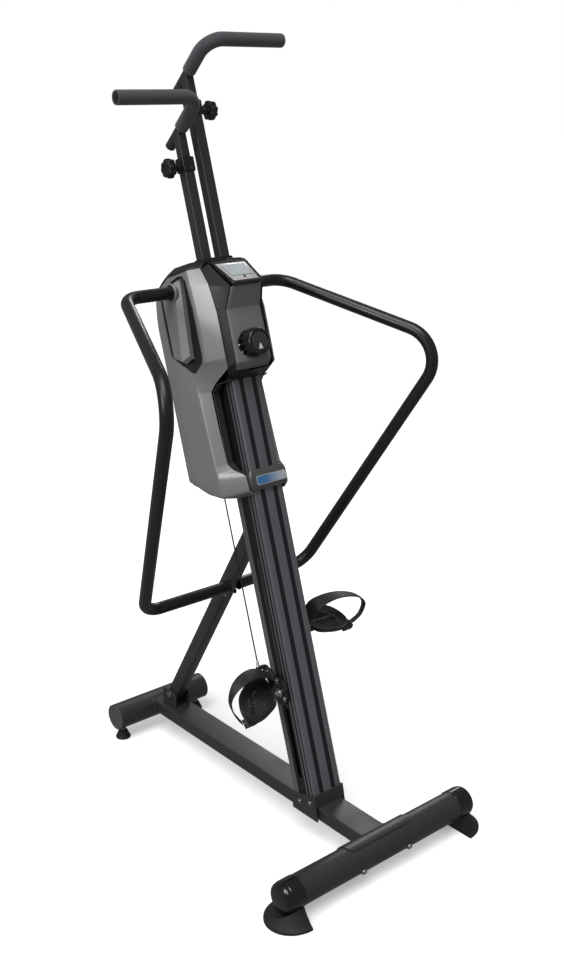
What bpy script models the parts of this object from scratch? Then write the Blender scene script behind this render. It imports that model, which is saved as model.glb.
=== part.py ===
"""Vertical climber machine: a leaning aluminium column on a floor frame, with two
arms that slide up and down in opposition, each carrying a pedal and a handle.

Metres, +Z up, -Y towards the user, +X on the user's right. The origin is the centre
of the footprint on the floor. Everything on the column is built in the column's own
frame: local X across, local Y back from the column's front face, local Z up along it.
"""

import math

import bmesh
import bpy
from mathutils import Matrix, Vector

# ---- Driving dimensions -------------------------------------------------------------
GAP = 0.0003                      # clearance between touching pieces
DEPTH_CENTRE = 0.461              # front stabiliser axis to the footprint's centre

TUBE_R = 0.0381                   # both stabiliser tubes
TUBE_WALL = 0.002
FRONT_Y = -DEPTH_CENTRE
FRONT_Z = 0.0665
REAR_Y = 0.9546 - DEPTH_CENTRE
REAR_Z = 0.073
FRONT_TUBE_HALF = 0.300
REAR_TUBE_HALF = 0.155
CAP_INNER_X = 0.265
CAP_OUTER_X = 0.320
CAP_R = 0.0398
FOOT_CUT_X = 0.272
FOOT_REACH = 0.076
FOOT_HALF_WIDTH = 0.068
LEVEL_FOOT_X = 0.133
LEVEL_PAD_R = 0.022
LEVEL_STEM_R = 0.0048

BEAM_HALF_WIDTH = 0.040
BEAM_TOP = 0.1046
BEAM_HEIGHT = 0.037
SADDLE_R = 0.0412
SADDLE_HALF = 0.104

LEAN = math.radians(16.68)        # column from vertical, top towards +Y
COLUMN_BASE = Vector((0, 0.1747 - DEPTH_CENTRE, BEAM_TOP))
COLUMN_HALF = 0.046
COLUMN_DEPTH = 0.083
COLUMN_WALL = 0.0026
COLUMN_TOP = 1.330
SLOT_DEPTH = 0.046                # slot centre, back from the front face
SLOT_WIDTH = 0.015
SLOT_LOW = 0.075
SLOT_HIGH = 0.660
SOCKET_TOP = 0.034
SOCKET_HALF = 0.0495

BRACE_HALF_WIDTH = 0.016
BRACE_DEPTH = 0.040
BRACE_LEAN = math.radians(31.56)  # brace from vertical, top towards -Y
BRACE_PIVOT = Vector((0, 0.8717 - DEPTH_CENTRE, 0.1198))
BRACE_LENGTH = 0.800

BAR_R = 0.016
BAR_WALL = 0.002
BAR_S = 1.3494                    # side bars' top run along the column
BAR_DEPTH = 0.0928
BAR_P1 = Vector((0.2466, 0.6508 - DEPTH_CENTRE, 1.3707))
BAR_P2 = Vector((0.4269, 0.2065 - DEPTH_CENTRE, 1.2388))
BAR_P3 = Vector((0.2719, 0.5915 - DEPTH_CENTRE, 0.5731))
BAR_P4 = Vector((0.008, 0.568 - DEPTH_CENTRE, 0.583))
BAR_SEAM = 0.375                  # share of the run from P2 to P3
BAR_UPPER_BENDS = (0.060, 0.085)
BAR_LOWER_BENDS = (0.055,)

COVER_WALL = 0.003
COVER_SIDE = 0.100
WINDOW_LINER_X = 0.084
CONSOLE_WALL = 0.0025

ARM_X = 0.0284
ARM_DEPTH = 0.0426
ARM_HALF = 0.0143
ARM_WALL = 0.0018
POST_HALF = 0.0122
LEFT_AXLE_S = 0.306               # pedal axle along the column at rest, left arm
ARM_STAGGER = 0.1385              # how much higher the right arm stands at rest
ARM_BOTTOM = -0.046               # from the pedal axle
ARM_TOP = 1.354
CLAMP_LOW = 1.326
CLAMP_HIGH = 1.361
CLAMP_HALF = 0.0178
CLAMP_SCREW = 1.337
KNOB_X = 0.083
KNOB_R = 0.029

HANDLE_ANGLE = math.radians(43.0) # handle stem above horizontal, forwards
HANDLE_R = 0.0127
GRIP_R = 0.0173
GRIP_END_X = 0.262
STEM_LENGTH = 0.174
GRIP_START = 0.0675               # from the stem's rear end

AXLE_X = (0.0563, 0.168)
AXLE_R = 0.006
PEDAL_HALF_DEPTH = 0.011
PEDAL_TILT = {-1: math.radians(48.0), 1: math.radians(22.0)}
# The tread's outline, seen from above: across the machine, then towards the toe.
TREAD = ((0.0815, -0.018), (0.118, -0.041), (0.158, -0.049), (0.183, -0.035),
         (0.188, -0.006), (0.172, 0.032), (0.132, 0.056), (0.097, 0.057), (0.0815, 0.043))
BUCKLE_X = 0.1920
BUCKLE_Y = (-0.050, -0.026)
# Each toe strap's route from the tread's inner edge, over the shoe, to the buckle at the
# outer heel corner: across, then the heel edge's and the toe edge's (y, z).
STRAP_ROUTE = {
    -1: ((0.0800, 0.015, 0.0125, 0.053, 0.0125), (0.0800, 0.020, 0.030, 0.058, 0.026),
         (0.090, 0.030, 0.050, 0.063, 0.032), (0.130, 0.045, 0.065, 0.078, 0.043),
         (0.172, 0.044, 0.070, 0.075, 0.049), (0.206, 0.034, 0.056, 0.058, 0.044),
         (0.220, 0.016, 0.030, 0.030, 0.024), (0.213, -0.008, 0.008, 0.006, 0.006),
         (0.202, -0.029, -0.001, -0.016, -0.001), (0.1955, -0.039, -0.003, -0.026, -0.003)),
    1: ((0.0800, 0.001, 0.0125, 0.043, 0.0125), (0.0800, -0.003, 0.034, 0.039, 0.032),
        (0.092, -0.007, 0.066, 0.035, 0.060), (0.130, -0.013, 0.087, 0.026, 0.076),
        (0.172, -0.020, 0.089, 0.014, 0.079), (0.214, -0.026, 0.074, 0.000, 0.068),
        (0.239, -0.030, 0.046, -0.012, 0.044), (0.234, -0.034, 0.014, -0.020, 0.014),
        (0.214, -0.037, 0.000, -0.024, 0.000), (0.1955, -0.040, -0.003, -0.026, -0.003))}
STRAP_WALL = 0.0028
CABLE_X = 0.070
CABLE_DEPTH = 0.098
CABLE_R = 0.002
CABLE_LENGTH = 0.637

PULLEY_S = 1.230
PULLEY_R = 0.074
FLYWHEEL_DEPTH = (0.146, 0.170)
FLYWHEEL_R = 0.082

SIDES = {"left": -1, "right": 1}
ROUND_STEPS = 32


# ---- Scene, materials and basic makers ------------------------------------------------
def clear_scene():
    for obj in list(bpy.data.objects):
        bpy.data.objects.remove(obj, do_unlink=True)


clear_scene()
PARTS = bpy.data.collections.new("vertical_climber")
CUTTERS = bpy.data.collections.new("cutters")
bpy.context.scene.collection.children.link(PARTS)
bpy.context.scene.collection.children.link(CUTTERS)


def make_material(name, colour, roughness, metallic=0.0):
    material = bpy.data.materials.new(name)
    material.use_nodes = True
    shader = material.node_tree.nodes["Principled BSDF"]
    shader.inputs["Base Color"].default_value = (*colour, 1)
    shader.inputs["Roughness"].default_value = roughness
    shader.inputs["Metallic"].default_value = metallic
    return material


FRAME_PAINT = make_material("frame_paint", (0.035, 0.035, 0.038), 0.42)
COLUMN_METAL = make_material("column_anodised", (0.20, 0.19, 0.22), 0.38, 0.9)
BLACK_PLASTIC = make_material("black_plastic", (0.012, 0.012, 0.013), 0.35)
SILVER_PLASTIC = make_material("silver_plastic", (0.42, 0.41, 0.40), 0.32, 0.4)
CONSOLE_PLASTIC = make_material("console_plastic", (0.10, 0.10, 0.11), 0.5)
DISPLAY_GREY = make_material("display_grey", (0.45, 0.50, 0.52), 0.2)
RUBBER = make_material("rubber", (0.015, 0.015, 0.016), 0.75)
FOAM = make_material("grip_foam", (0.020, 0.020, 0.022), 0.85)
STEEL = make_material("zinc_steel", (0.60, 0.60, 0.60), 0.3, 1.0)
CAST_IRON = make_material("flywheel_iron", (0.10, 0.10, 0.10), 0.5, 0.9)


def empty(name, location, rotation=(0, 0, 0), parent=None):
    obj = bpy.data.objects.new(name, None)
    obj.location = location
    obj.rotation_euler = rotation
    obj.parent = parent
    PARTS.objects.link(obj)
    return obj


COLUMN = empty("column_frame", COLUMN_BASE, (-LEAN, 0, 0))
BRACE = empty("brace_frame", BRACE_PIVOT, (BRACE_LEAN, 0, 0))


def add(name, data, material=None, parent=None, location=(0, 0, 0), rotation=(0, 0, 0)):
    """Link a new object. One with no material is a cutter."""
    obj = bpy.data.objects.new(name, data)
    obj.parent = parent
    obj.location = location
    obj.rotation_euler = rotation
    if material is None:
        CUTTERS.objects.link(obj)
        obj.hide_render = True
        obj.display_type = "WIRE"
    else:
        PARTS.objects.link(obj)
        data.materials.append(material)
    return obj


def mesh_from(build):
    """A mesh filled by build(bmesh), with its normals facing out."""
    shape = bmesh.new()
    build(shape)
    bmesh.ops.recalc_face_normals(shape, faces=shape.faces)
    mesh = bpy.data.meshes.new("shape")
    shape.to_mesh(mesh)
    shape.free()
    return mesh


def box_mesh(low, high):
    size = [h - l for l, h in zip(low, high)]
    centre = [(h + l) / 2 for l, h in zip(low, high)]
    place = Matrix.Translation(centre) @ Matrix.Diagonal((*size, 1))
    return mesh_from(lambda shape: bmesh.ops.create_cube(shape, size=1, matrix=place))


def cylinder_mesh(radius, length, steps=ROUND_STEPS, radius_top=None):
    """A cylinder or cone along +Z from the origin."""
    top = radius if radius_top is None else radius_top
    place = Matrix.Translation((0, 0, length / 2))

    def build(shape):
        bmesh.ops.create_cone(shape, cap_ends=True, segments=steps, radius1=radius,
                              radius2=top, depth=length, matrix=place)
    return mesh_from(build)


def smooth(obj, angle=35):
    obj.data.shade_smooth()
    obj.data.set_sharp_from_angle(angle=math.radians(angle))
    return obj


ALONG = {"x": (0, math.pi / 2, 0), "y": (-math.pi / 2, 0, 0), "z": (0, 0, 0)}


def rod(name, start, axis, radius, length, material=None, parent=None, steps=ROUND_STEPS):
    """A solid round bar from start, along +axis."""
    mesh = cylinder_mesh(radius, length, steps)
    obj = add(name, mesh, material, parent, start, ALONG[axis])
    return smooth(obj)


def turned(name, profile, material, start, axis, parent=None, steps=ROUND_STEPS):
    """Turn a closed (radius, height) loop, listed down its outer side, about an axis."""
    shape = bmesh.new()
    points = [shape.verts.new((r, 0, h)) for r, h in profile]
    for i, point in enumerate(points):
        shape.edges.new((point, points[(i + 1) % len(points)]))
    mesh = bpy.data.meshes.new(name)
    shape.to_mesh(mesh)
    shape.free()
    obj = add(name, mesh, material, parent, start, ALONG[axis])
    screw = obj.modifiers.new("turn", "SCREW")
    screw.steps = screw.render_steps = steps
    screw.use_merge_vertices = True
    screw.merge_threshold = 0.00001
    screw.use_smooth_shade = True
    return obj


def pipe(name, start, axis, radius, wall, length, material, parent=None):
    """A straight hollow round tube."""
    inner = radius - wall
    profile = [(radius, length), (radius, 0), (inner, 0), (inner, length)]
    return turned(name, profile, material, start, axis, parent)


def outline_curve(loops, half_depth):
    """A flat outline in local XY, with any inner loops as holes, extruded along Z."""
    curve = bpy.data.curves.new("outline", "CURVE")
    curve.dimensions = "2D"
    curve.fill_mode = "BOTH"
    curve.extrude = half_depth
    for loop in loops:
        spline = curve.splines.new("POLY")
        spline.points.add(len(loop) - 1)
        spline.use_cyclic_u = True
        for point, (x, y) in zip(spline.points, loop):
            point.co = (x, y, 0, 1)
    return curve


def curve_to_mesh(curve):
    """The welded mesh of a curve's solid, so that it can take Booleans."""
    holder = bpy.data.objects.new("holder", curve)
    bpy.context.scene.collection.objects.link(holder)
    graph = bpy.context.evaluated_depsgraph_get()
    mesh = bpy.data.meshes.new_from_object(holder.evaluated_get(graph))
    bpy.data.objects.remove(holder, do_unlink=True)
    shape = bmesh.new()
    shape.from_mesh(mesh)
    bmesh.ops.remove_doubles(shape, verts=shape.verts, dist=0.00002)
    bmesh.ops.recalc_face_normals(shape, faces=shape.faces)
    shape.to_mesh(mesh)
    shape.free()
    return mesh


def prism_mesh(loops, low, high):
    """A solid with the given outline, from low to high along local Z."""
    mesh = curve_to_mesh(outline_curve(loops, (high - low) / 2))
    mesh.transform(Matrix.Translation((0, 0, (high + low) / 2)))
    return mesh


# Turns a prism's local XY outline and Z depth to (depth, height) outline and X depth.
SIDEWAYS = Matrix(((0, 0, 1, 0), (1, 0, 0, 0), (0, 1, 0, 0), (0, 0, 0, 1)))


def side_prism_mesh(outline, x_low, x_high):
    """A solid whose outline lies in local YZ, from x_low to x_high."""
    mesh = prism_mesh([outline], x_low, x_high)
    mesh.transform(SIDEWAYS)
    return mesh


def cut(obj, *cutters, operation="DIFFERENCE"):
    for cutter in cutters:
        modifier = obj.modifiers.new(operation.lower(), "BOOLEAN")
        modifier.operation = operation
        modifier.object = cutter
    return obj


def cutter_box(name, low, high, parent=None):
    return add(name, box_mesh(low, high), None, parent)


def rounded_rect(half_x, half_y, radius, steps=3, centre=(0, 0)):
    loop = []
    for corner, (sx, sy) in enumerate(((1, 1), (-1, 1), (-1, -1), (1, -1))):
        for step in range(steps + 1):
            angle = math.pi / 2 * (corner + step / steps)
            loop.append((centre[0] + sx * (half_x - radius) + radius * math.cos(angle),
                         centre[1] + sy * (half_y - radius) + radius * math.sin(angle)))
    return loop


def lobed(radius, depth, lobes, steps=5):
    """A star knob's outline: round lobes with finger hollows between them."""
    count = lobes * steps
    return [((radius - depth * (0.5 - 0.5 * math.cos(2 * math.pi * i / steps)))
             * math.cos(2 * math.pi * i / count),
             (radius - depth * (0.5 - 0.5 * math.cos(2 * math.pi * i / steps)))
             * math.sin(2 * math.pi * i / count)) for i in range(count)]


def rounded_path(points, radii, steps=6):
    """The polyline through points with each inner corner turned on an arc."""
    path = [Vector(points[0])]
    for before, corner, after, radius in zip(points, points[1:], points[2:], radii):
        corner = Vector(corner)
        to_before = (Vector(before) - corner).normalized()
        to_after = (Vector(after) - corner).normalized()
        half = to_before.angle(to_after) / 2
        centre = corner + (to_before + to_after).normalized() * (radius / math.sin(half))
        reach = radius / math.tan(half)
        first = corner + to_before * reach - centre
        turn = math.pi - 2 * half
        axis = first.cross(corner + to_after * reach - centre)
        for step in range(steps + 1):
            spin = Matrix.Rotation(turn * step / steps, 3, axis)
            path.append(centre + spin @ first)
    path.append(Vector(points[-1]))
    return path


def smooth_route(points, steps, closed=False):
    """Points along a Catmull-Rom curve through the given ones."""
    count = len(points)
    spans = count if closed else count - 1
    route = []
    for i in range(spans):
        if closed:
            near = [Vector(points[(i + k) % count]) for k in (-1, 0, 1, 2)]
        else:
            near = [Vector(points[min(max(i + k, 0), count - 1)]) for k in (-1, 0, 1, 2)]
        before, start, end, after = near
        for step in range(steps):
            t = step / steps
            route.append(0.5 * (2 * start + (end - before) * t
                                + (2 * before - 5 * start + 4 * end - after) * t ** 2
                                + (3 * start - before - 3 * end + after) * t ** 3))
    if not closed:
        route.append(Vector(points[-1]))
    return route


def bent_tube(name, path, radius, wall, material=None, parent=None, resolution=3):
    """A round tube along a path: hollow with open ends, or solid where wall is 0."""
    curve = bpy.data.curves.new(name, "CURVE")
    curve.dimensions = "3D"
    curve.bevel_depth = radius
    curve.bevel_resolution = resolution
    curve.use_fill_caps = wall == 0
    spline = curve.splines.new("POLY")
    spline.points.add(len(path) - 1)
    for point, place in zip(spline.points, path):
        point.co = (*place, 1)
    if wall == 0:
        return smooth(add(name, curve_to_mesh(curve), material, parent))
    holder = bpy.data.objects.new("holder", curve)
    bpy.context.scene.collection.objects.link(holder)
    graph = bpy.context.evaluated_depsgraph_get()
    mesh = bpy.data.meshes.new_from_object(holder.evaluated_get(graph))
    bpy.data.objects.remove(holder, do_unlink=True)
    obj = smooth(add(name, mesh, material, parent))
    shell = obj.modifiers.new("wall", "SOLIDIFY")
    shell.thickness = wall
    shell.offset = -1
    return obj


def strip_mesh(rows):
    """A sheet of quads through rows of points."""
    def build(shape):
        made = [[shape.verts.new(point) for point in row] for row in rows]
        for low, high in zip(made, made[1:]):
            for i in range(len(low) - 1):
                shape.faces.new((low[i], low[i + 1], high[i + 1], high[i]))
    return mesh_from(build)


def shell_from(name, rows, wall, material, parent, outwards):
    """A sheet thickened inwards. outwards is a point well outside the sheet's middle."""
    mesh = strip_mesh(rows)
    middle = mesh.polygons[len(mesh.polygons) // 2]
    if middle.normal.dot(Vector(outwards) - middle.center) < 0:
        mesh.flip_normals()
    obj = add(name, mesh, material, parent)
    shell = obj.modifiers.new("wall", "SOLIDIFY")
    shell.thickness = wall
    shell.offset = -1
    shell.use_even_offset = True
    return obj


# ---- Floor frame ----------------------------------------------------------------------
def front_stabiliser():
    length = 2 * FRONT_TUBE_HALF
    start = (-FRONT_TUBE_HALF, FRONT_Y, FRONT_Z)
    pipe("front_stabiliser_tube", start, "x", TUBE_R, TUBE_WALL, length, FRAME_PAINT)
    for side, sign in SIDES.items():
        front_cap(side, sign)
        front_foot(side, sign)


def front_cap(side, sign):
    """A moulded sleeve with a rounded closed end."""
    inner = TUBE_R + GAP
    length = CAP_OUTER_X - CAP_INNER_X
    profile = [(0, length), (0.022, length - 0.001), (0.034, length - 0.005),
               (CAP_R, length - 0.014), (CAP_R, 0), (inner, 0),
               (inner, FRONT_TUBE_HALF - CAP_INNER_X + GAP),
               (0, FRONT_TUBE_HALF - CAP_INNER_X + GAP)]
    cap = turned(f"front_cap_{side}", profile, BLACK_PLASTIC,
                 (sign * CAP_INNER_X, FRONT_Y, FRONT_Z), "x")
    if sign < 0:
        cap.rotation_euler = (0, -math.pi / 2, 0)


def front_foot(side, sign):
    """A flared rubber half-dome, hollowed to sit under the cap."""
    rings = ((0, FOOT_REACH, FOOT_HALF_WIDTH), (0.006, FOOT_REACH, FOOT_HALF_WIDTH),
             (0.020, 0.062, 0.055), (0.038, 0.050, 0.041), (0.044, 0.048, 0.038))
    steps = 12
    rows = []
    for height, reach, half in rings:
        arc = [math.pi * i / steps - math.pi / 2 for i in range(steps + 1)]
        rows.append([(sign * (FOOT_CUT_X + reach * math.cos(a)),
                      FRONT_Y + half * math.sin(a), height) for a in arc])

    def build(shape):
        made = [[shape.verts.new(point) for point in row] for row in rows]
        for low, high in zip(made, made[1:]):
            for i in range(steps):
                shape.faces.new((low[i], low[i + 1], high[i + 1], high[i]))
            shape.faces.new((low[0], high[0], high[-1], low[-1]))
        shape.faces.new(made[0])
        shape.faces.new(made[-1])
    foot = add(f"front_foot_{side}", mesh_from(build), RUBBER)
    start = (-0.4, FRONT_Y, FRONT_Z)
    cut(foot, rod(f"cap_hollow_{side}", start, "x", CAP_R + GAP, 0.8))


def rear_stabiliser():
    length = 2 * REAR_TUBE_HALF
    start = (-REAR_TUBE_HALF, REAR_Y, REAR_Z)
    tube = pipe("rear_stabiliser_tube", start, "x", TUBE_R, TUBE_WALL, length, FRAME_PAINT)
    for side, sign in SIDES.items():
        place = (sign * LEVEL_FOOT_X, REAR_Y, 0.02)
        cut(tube, rod(f"level_hole_{side}", place, "z", LEVEL_STEM_R + GAP, 0.04, steps=16))
        levelling_foot(side, sign)
        rear_plug(side, sign)


def levelling_foot(side, sign):
    """A rubber-shod pad on a threaded stem, which screws up into the tube."""
    profile = [(0, 0.058), (LEVEL_STEM_R, 0.058), (LEVEL_STEM_R, 0.030), (0.009, 0.029),
               (0.009, 0.025), (0.013, 0.024), (0.020, 0.010), (LEVEL_PAD_R, 0.004),
               (LEVEL_PAD_R, 0), (0, 0)]
    turned(f"levelling_foot_{side}", profile, RUBBER,
           (sign * LEVEL_FOOT_X, REAR_Y, 0), "z", steps=24)


def rear_plug(side, sign):
    """A flat plastic plug: a disc on the tube's end with a spigot inside it."""
    spigot = TUBE_R - TUBE_WALL - GAP
    profile = [(0, 0.003), (TUBE_R, 0.003), (TUBE_R, GAP), (spigot, GAP),
               (spigot, -0.010), (0, -0.010)]
    plug = turned(f"rear_plug_{side}", profile, CONSOLE_PLASTIC,
                  (sign * REAR_TUBE_HALF, REAR_Y, REAR_Z), "x")
    if sign < 0:
        plug.rotation_euler = (0, -math.pi / 2, 0)


def base_beam():
    """The rectangular tube that joins both stabilisers, with the curved saddle plate
    welded across its front end to hug the front tube."""
    half = BEAM_HEIGHT / 2
    outer = rounded_rect(BEAM_HALF_WIDTH, half, 0.003)
    inner = rounded_rect(BEAM_HALF_WIDTH - 0.002, half - 0.002, 0.0015)
    mesh = prism_mesh([outer, inner], FRONT_Y + 0.010, REAR_Y - 0.010)
    mesh.transform(Matrix.Rotation(-math.pi / 2, 4, "X"))
    beam = add("base_beam", mesh, FRAME_PAINT, None, (0, 0, BEAM_TOP - half))
    start = (-0.1, FRONT_Y, FRONT_Z)
    cut(beam, rod("saddle_cope", start, "x", SADDLE_R - 0.001, 0.2))
    start = (-0.1, REAR_Y, REAR_Z)
    cut(beam, rod("rear_cope", start, "x", TUBE_R + GAP, 0.2))
    cut(beam, front_saddle(), operation="UNION")


def front_saddle():
    inner = TUBE_R + GAP
    low, high, steps = math.radians(-35), math.radians(113), 14
    arc = [low + (high - low) * i / steps for i in range(steps + 1)]
    outline = [(SADDLE_R * math.cos(a), SADDLE_R * math.sin(a)) for a in arc]
    outline += [(inner * math.cos(a), inner * math.sin(a)) for a in reversed(arc)]
    mesh = side_prism_mesh(outline, -SADDLE_HALF, SADDLE_HALF)
    return add("front_saddle", mesh, None, None, (0, FRONT_Y, FRONT_Z))


def brace():
    """The rectangular strut from the beam's rear to the back of the column."""
    outer = rounded_rect(BRACE_HALF_WIDTH, BRACE_DEPTH / 2, 0.003)
    inner = rounded_rect(BRACE_HALF_WIDTH - 0.002, BRACE_DEPTH / 2 - 0.002, 0.0015)
    mesh = prism_mesh([outer, inner], 0, BRACE_LENGTH)
    tube = add("brace_tube", mesh, FRAME_PAINT, BRACE)
    face = COLUMN_DEPTH + GAP
    trim = cutter_box("brace_top_cut", (-0.1, -0.2, 0.4), (0.1, face + 0.002, 1.2), COLUMN)
    plate = cutter_box("brace_top_plate", (-0.030, face, 0.690),
                       (0.030, face + 0.003, 0.790), COLUMN)
    cut(tube, trim)
    cut(tube, plate, operation="UNION")
    bolt_x = BRACE_HALF_WIDTH + 0.010
    hole = rod("brace_bolt_hole", (-0.05, 0, 0.026), "x", 0.0043, 0.1, None, BRACE, 16)
    cut(tube, hole)
    pin = [(0, 2 * bolt_x + 0.005), (0.0075, 2 * bolt_x + 0.005), (0.0075, 2 * bolt_x),
           (0.004, 2 * bolt_x), (0.004, 0), (0.0075, 0), (0.0075, -0.005), (0, -0.005)]
    turned("brace_pivot_bolt", pin, STEEL, (-bolt_x, 0, 0.026), "x", BRACE, 16)
    brace_foot_bracket(bolt_x, hole)


def brace_foot_bracket(bolt_x, hole):
    """A U-shaped bracket standing on the beam, one ear each side of the brace."""
    inner = BRACE_HALF_WIDTH + 0.0012
    outer = bolt_x - GAP
    low = BEAM_TOP + GAP
    u_shape = [(-outer, low), (outer, low), (outer, low + 0.052), (inner, low + 0.052),
               (inner, low + 0.004), (-inner, low + 0.004), (-inner, low + 0.052),
               (-outer, low + 0.052)]
    mesh = prism_mesh([u_shape], -(BRACE_PIVOT.y + 0.020), -(BRACE_PIVOT.y - 0.046))
    mesh.transform(Matrix.Rotation(math.pi / 2, 4, "X"))
    bracket = add("brace_foot_bracket", mesh, FRAME_PAINT)
    # The brace's square lower end swings clear above the bracket's floor.
    cut(bracket, hole)


# ---- Column -----------------------------------------------------------------------------
def column_outline():
    """Front face with two shallow grooves, and a channel down each side."""
    w, d = COLUMN_HALF, COLUMN_DEPTH
    groove, channel = 0.0012, 0.0012
    front = [(0.013, 0), (0.0138, groove), (0.0262, groove), (0.027, 0), (w - 0.004, 0),
             (w, 0.004), (w, 0.030), (w - channel, 0.0312), (w - channel, 0.0608),
             (w, 0.062), (w, d - 0.004), (w - 0.004, d)]
    return front + [(-x, y) for x, y in reversed(front)]


def column():
    inner = rounded_rect(COLUMN_HALF - COLUMN_WALL, COLUMN_DEPTH / 2 - COLUMN_WALL, 0.002,
                         2, (0, COLUMN_DEPTH / 2))
    mesh = prism_mesh([column_outline(), inner], -0.040, COLUMN_TOP)
    post = add("column", mesh, COLUMN_METAL, COLUMN)
    cut(post, cutter_box("beam_top_cut", (-0.1, -0.6, 0), (0.1, 0.2, BEAM_TOP + GAP)))
    half = SLOT_WIDTH / 2
    slot = []
    for centre, start in ((SLOT_HIGH - half, 0), (SLOT_LOW + half, math.pi)):
        for i in range(7):
            angle = start + math.pi * i / 6
            slot.append((SLOT_DEPTH + half * math.cos(angle),
                         centre + half * math.sin(angle)))
    cut(post, add("slot_cut", side_prism_mesh(slot, -0.07, 0.07), None, COLUMN))


def column_socket():
    """The welded shoe that wraps the column's foot and the beam's sides."""
    low, back = 0.068, COLUMN_DEPTH + 0.0035
    top_front = COLUMN.matrix_basis @ Vector((0, -0.0035, SOCKET_TOP))
    top_back = COLUMN.matrix_basis @ Vector((0, back, SOCKET_TOP))
    outline = [(top_front.y - 0.014, low), (top_back.y - 0.003, low),
               (top_back.y, top_back.z), (top_front.y, top_front.z)]
    shoe = add("column_socket", side_prism_mesh(outline, -SOCKET_HALF, SOCKET_HALF),
               FRAME_PAINT)
    # The column's foot is cut level with the beam, so the shoe is bored to that level.
    half = COLUMN_HALF + GAP
    bore = cutter_box("shoe_bore", (-half, -GAP, -0.1), (half, COLUMN_DEPTH + GAP, 0.2),
                      COLUMN)
    cut(shoe, bore)
    half = BEAM_HALF_WIDTH + GAP
    cut(shoe, cutter_box("shoe_beam", (-half, -0.6, -0.1), (half, 0.6, BEAM_TOP + GAP)))


# ---- Side bars --------------------------------------------------------------------------
def side_bars():
    half = BRACE_HALF_WIDTH + GAP
    brace_side = cutter_box("brace_side_cut", (-half, -0.1, 0.4), (half, 0.3, 0.8))
    for side, sign in SIDES.items():
        flip = Matrix.Diagonal((sign, 1, 1))
        inner = Vector((0.003, BAR_P1.y, BAR_P1.z))
        seam = BAR_P2.lerp(BAR_P3, BAR_SEAM)
        along = (BAR_P3 - BAR_P2).normalized() * GAP
        upper = rounded_path([inner, BAR_P1, BAR_P2, seam - along], BAR_UPPER_BENDS)
        lower = rounded_path([seam + along, BAR_P3, BAR_P4], BAR_LOWER_BENDS)
        bent_tube(f"side_bar_upper_{side}", [flip @ p for p in upper], BAR_R, BAR_WALL,
                  FRAME_PAINT)
        tube = bent_tube(f"side_bar_lower_{side}", [flip @ p for p in lower], BAR_R,
                         BAR_WALL, FRAME_PAINT)
        cut(tube, brace_side)
        collar(side, sign)


def collar(side, sign):
    """The ring where a side bar leaves its cover."""
    profile = [(0.0235, 0.005), (0.0235, 0), (BAR_R + GAP, 0), (BAR_R + GAP, 0.005)]
    ring = turned(f"bar_collar_{side}", profile, BLACK_PLASTIC,
                  (sign * 0.1096, BAR_P1.y, BAR_P1.z), "x")
    if sign < 0:
        ring.rotation_euler = (0, -math.pi / 2, 0)


def bar_mount():
    """The clamp block on the column's top, which both side bars run into."""
    low = (-0.055, 0.062, COLUMN_TOP + GAP)
    block = add("bar_mount", box_mesh(low, (0.055, 0.113, 1.376)), FRAME_PAINT, COLUMN)
    bore = rod("bar_bore", (-0.2, BAR_P1.y, BAR_P1.z), "x", BAR_R + GAP, 0.4)
    cut(block, bore)


# ---- Drive housing ----------------------------------------------------------------------
def cover_rows(sign):
    """Points of a side cover from its front edge round to the rear seam, row by row.
    Each row: front edge, crease, side, rear corner, shoulder, back, seam, as
    (x, depth, height along the column)."""
    def row(front, crease, side, corner, shoulder, back, seam):
        return [(sign * x, y, z) for x, y, z in
                (front, crease, side, corner, shoulder, back, seam)]

    def level(s, front_x, front_y, crease_y):
        return row((front_x, front_y, s), (COVER_SIDE, crease_y, s), (COVER_SIDE, 0.120, s),
                   (COVER_SIDE, 0.165, s), (0.092, 0.205, s), (0.060, 0.228, s),
                   (GAP, 0.233, s))

    inner = row((0.0485, -0.002, 0.824), (0.0485, 0.060, 0.816), (0.0485, 0.084, 0.822),
                (0.032, 0.0865, 0.826), (0.022, 0.0865, 0.828), (0.012, 0.0865, 0.829),
                (GAP, 0.0865, 0.829))
    bottom = row((0.060, -0.002, 0.834), (0.099, 0.066, 0.826), (0.099, 0.120, 0.838),
                 (0.097, 0.155, 0.853), (0.087, 0.190, 0.866), (0.058, 0.212, 0.873),
                 (GAP, 0.217, 0.875))
    upper = row((0.072, -0.016, 1.346), (0.100, 0.022, 1.346), (0.100, 0.120, 1.346),
                (0.100, 0.165, 1.330), (0.092, 0.202, 1.300), (0.060, 0.224, 1.285),
                (GAP, 0.229, 1.282))
    top = row((0.072, 0.006, 1.390), (0.098, 0.028, 1.390), (0.098, 0.110, 1.388),
              (0.097, 0.163, 1.366), (0.089, 0.198, 1.336), (0.058, 0.219, 1.316),
              (GAP, 0.224, 1.312))
    return [inner, bottom, level(0.872, 0.061, 0.000, 0.065),
            level(0.888, 0.068, 0.038, 0.065), level(0.905, 0.074, 0.051, 0.066),
            level(1.000, 0.076, 0.054, 0.072), level(1.090, 0.077, 0.054, 0.077),
            level(1.110, 0.075, 0.030, 0.079), level(1.140, 0.072, -0.028, 0.079),
            level(1.164, 0.072, -0.028, 0.024), level(1.218, 0.072, -0.028, 0.015),
            level(1.275, 0.072, -0.028, 0.017), upper, top]


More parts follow.
